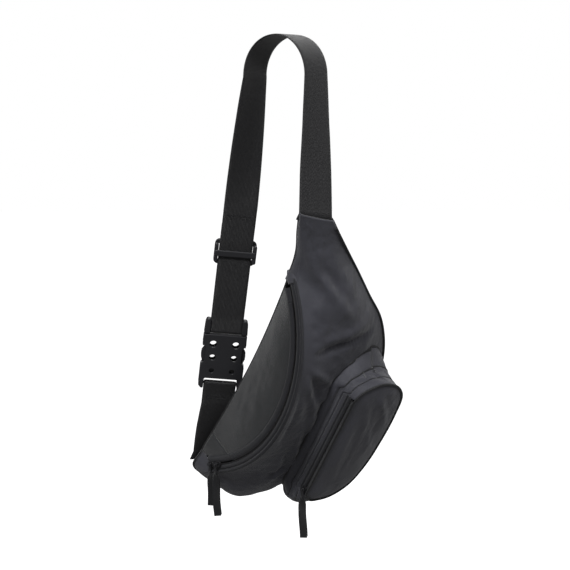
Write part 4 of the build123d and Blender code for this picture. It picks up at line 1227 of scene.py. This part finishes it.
def stitch_rows(name, distances):
    """Rows of stitches across the left run."""
    rows = []
    for distance in distances:
        middle = on_run(distance, LAYER_OFFSET + WEBBING_THICK / 2)
        row = np.array((middle - run_width * 16, middle + run_width * 16))
        rows.append(stitch_mesh(row, run_face, 2.2, 1.6, 0.3))
    return add_piece(name, joined(*rows), THREAD, "bag")


tacks = stitch_rows("strap_tack_stitches", [TRI_GLIDE_AT - GLIDE_TACK + step for step in TACK_ROWS])
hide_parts("strap_bar_tacks")
stitch_rows("strap_tail_stitches", [SOCKET_BAR_AT + SOCKET_TACK + step for step in TACK_ROWS])

# ---------------------------------------------------------------- tri-glide
GLIDE_WIDTH = 48.0
GLIDE_LENGTH = 31.0
GLIDE_OPENING = WEBBING_WIDTH + 1.6
STACK = LAYER_OFFSET + WEBBING_THICK / 2


def run_place(distance):
    """Plane facing outward on the left run: x across it, y up it, z outward."""
    return (on_run(distance), run_width, -RUN, run_face)


def box_outline(width, length, cut, centre=(0.0, 0.0)):
    x, y = width / 2, length / 2
    corners = np.array(((-x, -y), (x, -y), (x, y), (-x, y))) + np.array(centre)
    return rounded_outline(corners, cut, 7)


glide_place = run_place(TRI_GLIDE_AT)
glide_frame = plate_mesh(
    box_outline(GLIDE_WIDTH, GLIDE_LENGTH, 7), -STACK - 3.0, -STACK - GAP, glide_place, 0.9,
    [box_outline(GLIDE_OPENING, GLIDE_LENGTH - 11, 2.5)],
)
glide_cheeks = [
    plate_mesh(
        box_outline(4.4, GLIDE_LENGTH - 9, 2, (side * 21.9, 0)), -STACK - 1.4, STACK + 1.9, glide_place, 0.8
    )
    for side in (-1, 1)
]
glide_bar = plate_mesh(box_outline(GLIDE_WIDTH, 7.4, 3), STACK + GAP, STACK + 3.0, glide_place, 1.1)
tri_glide = add_piece(
    "tri_glide_moulded", joined(glide_frame, *glide_cheeks, glide_bar),
    PLASTIC, "tri_glide_body",
)
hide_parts("tri_glide")

# ---------------------------------------------------------------- side-release buckle
# Heights up the run are measured from the plug's bar.
PLUG_HALF = 24.5
SOCKET_HALF = 25.5
WAIST_HALF = 21.5
CHEEK_INNER = 19.8
PLATE_HALF = 5.0
PRONG_HALF = 2.2
CAVITY_HALF = 2.6
PLUG_TOP = 9.0
PLUG_BASE_TOP = -9.8
PLUG_BASE_LOW = -13.0
SOCKET_TOP = -10.0
PRONG_ROOT = -12.6
PLATE_LOW = -66.0
SOCKET_LOW = -79.0
PRONG_PIVOT = 20.0
PRONG_ROOT_RADIUS = 2.6
PLATE_HOLES = ((13.2, 4.2), (12.6, 3.6), (12.0, 2.8))
buckle_place = run_place(PLUG_BAR_AT)


def bar_mesh(height, half_length):
    middle = on_run(PLUG_BAR_AT - height)
    reach = run_width * half_length
    return tube_mesh(smooth_path((middle - reach, middle + reach), 6), BAR_RADIUS, 12)


PLUG_CHEEK = np.array([(18.4, PLUG_TOP), (PLUG_HALF, PLUG_TOP), (PLUG_HALF + 0.8, -9.2), (18.4, -9.2)])
plug_cheeks = [
    plate_mesh(
        rounded_outline(PLUG_CHEEK, (2.5, 6, 1, 1), 8) * np.array((side, 1)),
        -4.0, 4.0, buckle_place, 0.9,
    )
    for side in (-1, 1)
]
plug_base = plate_mesh(
    box_outline(44, PLUG_BASE_TOP - PLUG_BASE_LOW, 1.0, (0, (PLUG_BASE_TOP + PLUG_BASE_LOW) / 2)),
    -2.4, 2.4, buckle_place, 0.5,
)
plug_tongue = plate_mesh(box_outline(8, 22, 2, (0, PLUG_BASE_LOW - 10.5)), -2.4, 2.4, buckle_place, 0.5)
plug_bar = bar_mesh(PLUG_BAR_AT - PLUG_LOOP_AT, 20.5)
plug_mesh = joined(*plug_cheeks, plug_base, plug_tongue, plug_bar)
buckle_plug = add_piece("buckle_plug_moulded", plug_mesh, PLASTIC, "bag")
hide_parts("buckle_plug")

PRONG_CORNERS = np.array([
    (PRONG_PIVOT - PRONG_ROOT_RADIUS, 2.0), (PRONG_PIVOT + PRONG_ROOT_RADIUS, 2.0),
    (22.4, -13.8), (25.4, -17.5), (26.2, -24.0), (25.2, -30.0), (22.2, -34.5), (19.5, -35.0), (18.0, -32.0),
])
for name, side in (("left", -1), ("right", 1)):
    outline = rounded_outline(PRONG_CORNERS, 2.4, 6) * np.array((side, 1)) + np.array((0, PRONG_ROOT))
    prong = plate_mesh(outline[::side], -PRONG_HALF, PRONG_HALF, buckle_place, 0.7)
    grips = [
        plate_mesh(
            box_outline(1.0, 3.2, 0.4, (side * 25.2, PRONG_ROOT - 20.0 - 3.2 * step)),
            -PRONG_HALF - 0.25, PRONG_HALF + 0.25, buckle_place, 0.3,
        )
        for step in range(3)
    ]
    piece = add_piece(
        "buckle_prong_" + name + "_moulded", joined(prong, *grips), PLASTIC, "prong_" + name
    )
    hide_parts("buckle_prong_" + name)

SOCKET_CORNERS = np.array([
    (SOCKET_HALF - 0.6, SOCKET_TOP), (SOCKET_HALF, SOCKET_TOP - 12.5), (WAIST_HALF, SOCKET_TOP - 16.5),
    (WAIST_HALF, SOCKET_TOP - 34.0), (SOCKET_HALF, SOCKET_TOP - 38.5), (SOCKET_HALF, SOCKET_LOW + 4),
    (22.0, SOCKET_LOW), (CHEEK_INNER, SOCKET_LOW), (CHEEK_INNER, PLATE_LOW),
    (-CHEEK_INNER, PLATE_LOW), (-CHEEK_INNER, SOCKET_LOW), (-23.0, SOCKET_LOW),
    (-SOCKET_HALF, SOCKET_LOW + 4), (-SOCKET_HALF, SOCKET_TOP - 38.5), (-WAIST_HALF, SOCKET_TOP - 34.0),
    (-WAIST_HALF, SOCKET_TOP - 16.5), (-SOCKET_HALF, SOCKET_TOP - 12.5), (-SOCKET_HALF + 0.6, SOCKET_TOP),
])
socket_outline = rounded_outline(SOCKET_CORNERS, 2.2, 6)
plate_holes = [
    circle((side * spread, SOCKET_TOP - 12.0 - 17.0 * row), radius)
    for row, (spread, radius) in enumerate(PLATE_HOLES)
    for side in (-1, 1)
]
socket_parts = [
    plate_mesh(socket_outline, low, high, buckle_place, 0.6, plate_holes)
    for low, high in ((CAVITY_HALF, PLATE_HALF), (-PLATE_HALF, -CAVITY_HALF))
]
for side in (-1, 1):
    for top, low in ((SOCKET_TOP - 0.6, -25.0), (-47.2, SOCKET_LOW + 2.0)):
        wall = box_outline(2.6, top - low, 0.6, (side * 24.0, (top + low) / 2))
        socket_parts.append(plate_mesh(wall, -CAVITY_HALF - 0.8, CAVITY_HALF + 0.8, buckle_place, 0.3))
socket_floor = box_outline(2 * WAIST_HALF, 14.6, 1.0, (0, (PLATE_LOW - 50.9) / 2))
socket_parts.append(
    plate_mesh(socket_floor, -1.4, 1.4, buckle_place, 0.3)
)
socket_parts.append(bar_mesh(PLUG_BAR_AT - SOCKET_BAR_AT, 21.0))
buckle_socket = add_piece("buckle_socket_moulded", joined(*socket_parts), PLASTIC, "bag")
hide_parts("buckle_socket")

# ---------------------------------------------------------------- sliders, pullers and pull strips
SLIDER_BASE = TAPE_THICK + COIL_RADIUS + GAP
LIFT = SLIDER_BASE + SLIDER_HEIGHT
POST_RADIUS = 1.25
PULLER_THICK = 1.4
STRIP_THICK = 0.7
SHIELD = np.array([
    (-4.4, -1.7), (-1.5, -3.1), (3.0, -3.1), (4.5, -1.8),
    (4.5, 1.8), (3.0, 3.1), (-1.5, 3.1), (-4.4, 1.7),
])
EYE_RADIUS = 3.2


def zip_place(origin, travel, normal):
    return (origin, travel, np.cross(normal, travel), normal)


def hanging_place(place):
    """The same plane turned so that its x points down."""
    origin, _, _, normal = place
    down = unit(DOWN - normal * DOWN.dot(normal))
    return (origin, down, np.cross(normal, down), normal)


def slider_mesh(place, post_height):
    """Slider with two shield-shaped plates, its side walls, and the post that carries the puller."""
    shield = rounded_outline(SHIELD, 1.4, 5)
    walls = [
        plate_mesh(box_outline(6.4, 0.9, 0.3, (0.4, side * 2.6)), SLIDER_BASE + 0.5, LIFT - 0.5, place, 0.2)
        for side in (-1, 1)
    ]
    post_top = LIFT + post_height
    return joined(
        plate_mesh(shield, SLIDER_BASE, SLIDER_BASE + 0.8, place, 0.3),
        plate_mesh(shield, LIFT - 0.9, LIFT, place, 0.35),
        plate_mesh(circle((0, 0), POST_RADIUS), LIFT - 0.2, post_top + 0.2, place, 0.15),
        plate_mesh(circle((0, 0), POST_RADIUS + 1.1), post_top, post_top + 0.8, place, 0.35),
        *walls,
    )


def puller_mesh(place, height):
    """Metal tab: an eye on the slider's post and a slot for the strip."""
    neck = degrees(atan2(1.7, 2.7))
    eye = arc((0, 0), EYE_RADIUS, neck, 360 - neck, 30)
    tab = np.array(((8.0, -2.2), (11.0, -2.2), (11.5, -1.4), (11.5, 1.4), (11.0, 2.2), (8.0, 2.2)))
    outline = np.concatenate((eye, tab))
    slot = box_outline(1.5, 2.8, 0.5, (9.6, 0))
    holes = [circle((0, 0), POST_RADIUS + 0.1, 18), slot]
    return plate_mesh(outline, height, height + PULLER_THICK, place, 0.3, holes)


def strip_mesh(place, height, length, seed, twist):
    """Fabric strip doubled through the puller's slot, its two ends hanging slightly apart."""
    origin, down, side, normal = place
    middle = height + PULLER_THICK / 2
    end = 12 + length
    reach = np.linspace(end, 12.5, 26)
    fold = [(10.6, 1.15), (9.6, 1.25), (8.5, 0.8), (8.2, 0.0), (8.5, -0.8), (9.6, -1.25), (10.6, -1.15)]
    wave = 0.5 * np.sin(reach / 8.0 + seed)
    front = np.stack((reach, 0.5 + wave), axis=1)
    back = np.stack((reach[::-1] - 1.5, -0.5 + wave[::-1]), axis=1)
    line = np.concatenate((front, np.array(fold), back))
    sway = 0.5 * np.sin(line[:, 0] / 14.0 + seed)
    centres = origin + down * line[:, :1] + normal * (middle + line[:, 1:]) + side * sway[:, None]
    turn = 0.16 * np.sin(line[:, 0] / 17.0 + seed) + twist * np.clip((line[:, 0] - 10.0) / 14.0, 0, 1)
    widths = side * np.cos(turn)[:, None] + normal * np.sin(turn)[:, None]
    pinch = np.clip((line[:, 0] - 8.0) / 9.0, 0, 1)
    width = 3.0 + 5.6 * pinch * pinch * (3 - 2 * pinch)
    return ribbon_mesh(centres, widths, width, STRIP_THICK, 8)


def hang_puller(letters, place, height, length, slider_body, puller_body, nodes, seed, twist):
    """One slider, its puller and its strip, each riding on its own body."""
    slider_name, puller_name, strip_name = nodes
    post = height - LIFT + 1.9
    slider = add_piece("slider_" + letters, slider_mesh(place, post), METAL, slider_body)
    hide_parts(slider_name)
    hanging = hanging_place(place)
    puller = add_piece("puller_" + letters, puller_mesh(hanging, height), METAL, puller_body)
    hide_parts(puller_name)
    strip = add_piece(
        "pull_strip_" + letters, strip_mesh(hanging, height, length, seed, twist),
        STRIP, puller_body,
    )
    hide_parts(strip_name)


def main_slider_place(angle):
    origin = zip_points(angle, 0.0, 0.0)
    turn = radians(angle)
    return zip_place(origin, ALONG * cos(turn) - LID_RISE * sin(turn), LID_NORMAL)


for letter, angle, height, length, seed in (
    ("a", SLIDER_A_ANGLE, LIFT + 0.5, 38.0, 0.4), ("b", SLIDER_B_ANGLE, LIFT + 2.9, 50.0, 2.1),
):
    names = ["main_slider_" + letter, "main_puller_" + letter, "main_pull_strip_" + letter]
    hang_puller(
        "main_" + letter, main_slider_place(angle), height, length,
        "slider_" + letter, "pull_" + letter, names, seed, -0.6,
    )
slide_start = (POCKET_SLIDER_STATION - FACE_CORNERS[1][0]) / unit(edge_run)[0]
pocket_origin = pocket_zip_points(slide_start, POCKET_ZIP_HEIGHT, -TAPE_THICK)
hang_puller(
    "pocket", zip_place(pocket_origin, POCKET_TRAVEL, POCKET_NORMAL), LIFT + 1.0, 46.0,
    "pocket_slider_body", "pocket_pull", ["pocket_slider", "pocket_puller", "pocket_pull_strip"], 4.0, -1.0,
)

# ---------------------------------------------------------------- floor, lights and camera (metres)
FLOOR_HEIGHT = -0.95
FLOOR_RADIUS = 14
FLOOR_GLOW = 0.9
floor_mesh = bpy.data.meshes.new("floor")
floor_turns = np.linspace(0, 2 * pi, 65)[:-1]
floor_corners = [(cos(turn) * FLOOR_RADIUS, sin(turn) * FLOOR_RADIUS, FLOOR_HEIGHT) for turn in floor_turns]
floor_mesh.from_pydata(floor_corners, [], [tuple(range(64))])
floor_look = Look("pale_floor", (0.93, 0.93, 0.94), 0.7, specular=0.2)
floor_look.bump(floor_look.noise(30.0), 0.2, 0.2)
floor_look.shader.inputs["Emission Color"].default_value = (1, 1, 1, 1)
floor_look.shader.inputs["Emission Strength"].default_value = FLOOR_GLOW
floor_mesh.materials.append(floor_look.material)
floor = placed("floor", floor_mesh)
floor.visible_diffuse = False
floor.visible_glossy = False

SHADE_LIGHT = 0.22          # strength of the even light around the object; the backdrop itself is white
world = bpy.data.worlds.new("studio")
world.use_nodes = True
backdrop = world.node_tree.nodes["Background"]
backdrop.inputs["Color"].default_value = (1, 1, 1, 1)
light_path = world.node_tree.nodes.new("ShaderNodeLightPath")
strength = world.node_tree.nodes.new("ShaderNodeMapRange")
strength.inputs["To Min"].default_value = SHADE_LIGHT
strength.inputs["To Max"].default_value = 1.0
world.node_tree.links.new(light_path.outputs["Is Camera Ray"], strength.inputs["Value"])
world.node_tree.links.new(strength.outputs["Result"], backdrop.inputs["Strength"])
bpy.context.scene.world = world

VIEW_AZIMUTH = radians(40)
VIEW_ELEVATION = radians(6)
VIEW_DISTANCE = 1.70
LENS = 98.8
SENSOR = 36
AIM = Vector((0.0, 0.0, -0.226))


def view_direction(azimuth, elevation):
    """Direction from the object towards a viewer or a light."""
    flat = cos(elevation)
    return Vector((sin(azimuth) * flat, -cos(azimuth) * flat, sin(elevation)))


def soft_light(name, azimuth, elevation, distance, size, power):
    light = bpy.data.lights.new(name, "AREA")
    light.shape = "DISK"
    light.size = size
    light.energy = power
    holder = placed(name, light)
    direction = view_direction(radians(azimuth), radians(elevation))
    holder.location = AIM + direction * distance
    holder.rotation_euler = direction.to_track_quat("Z", "Y").to_euler()


soft_light("key_light", 24, 40, 2.2, 0.6, 42)
soft_light("side_light", 85, 40, 2.2, 0.8, 15)
soft_light("back_light", 215, 45, 2.4, 1.2, 10)

camera_data = bpy.data.cameras.new("camera")
camera_data.sensor_width = SENSOR
camera_data.lens = LENS
camera = placed("camera", camera_data)
toward = view_direction(VIEW_AZIMUTH, VIEW_ELEVATION)
camera.location = AIM + toward * VIEW_DISTANCE
camera.rotation_euler = toward.to_track_quat("Z", "Y").to_euler()
bpy.context.scene.camera = camera
bpy.context.scene.view_settings.view_transform = "Standard"
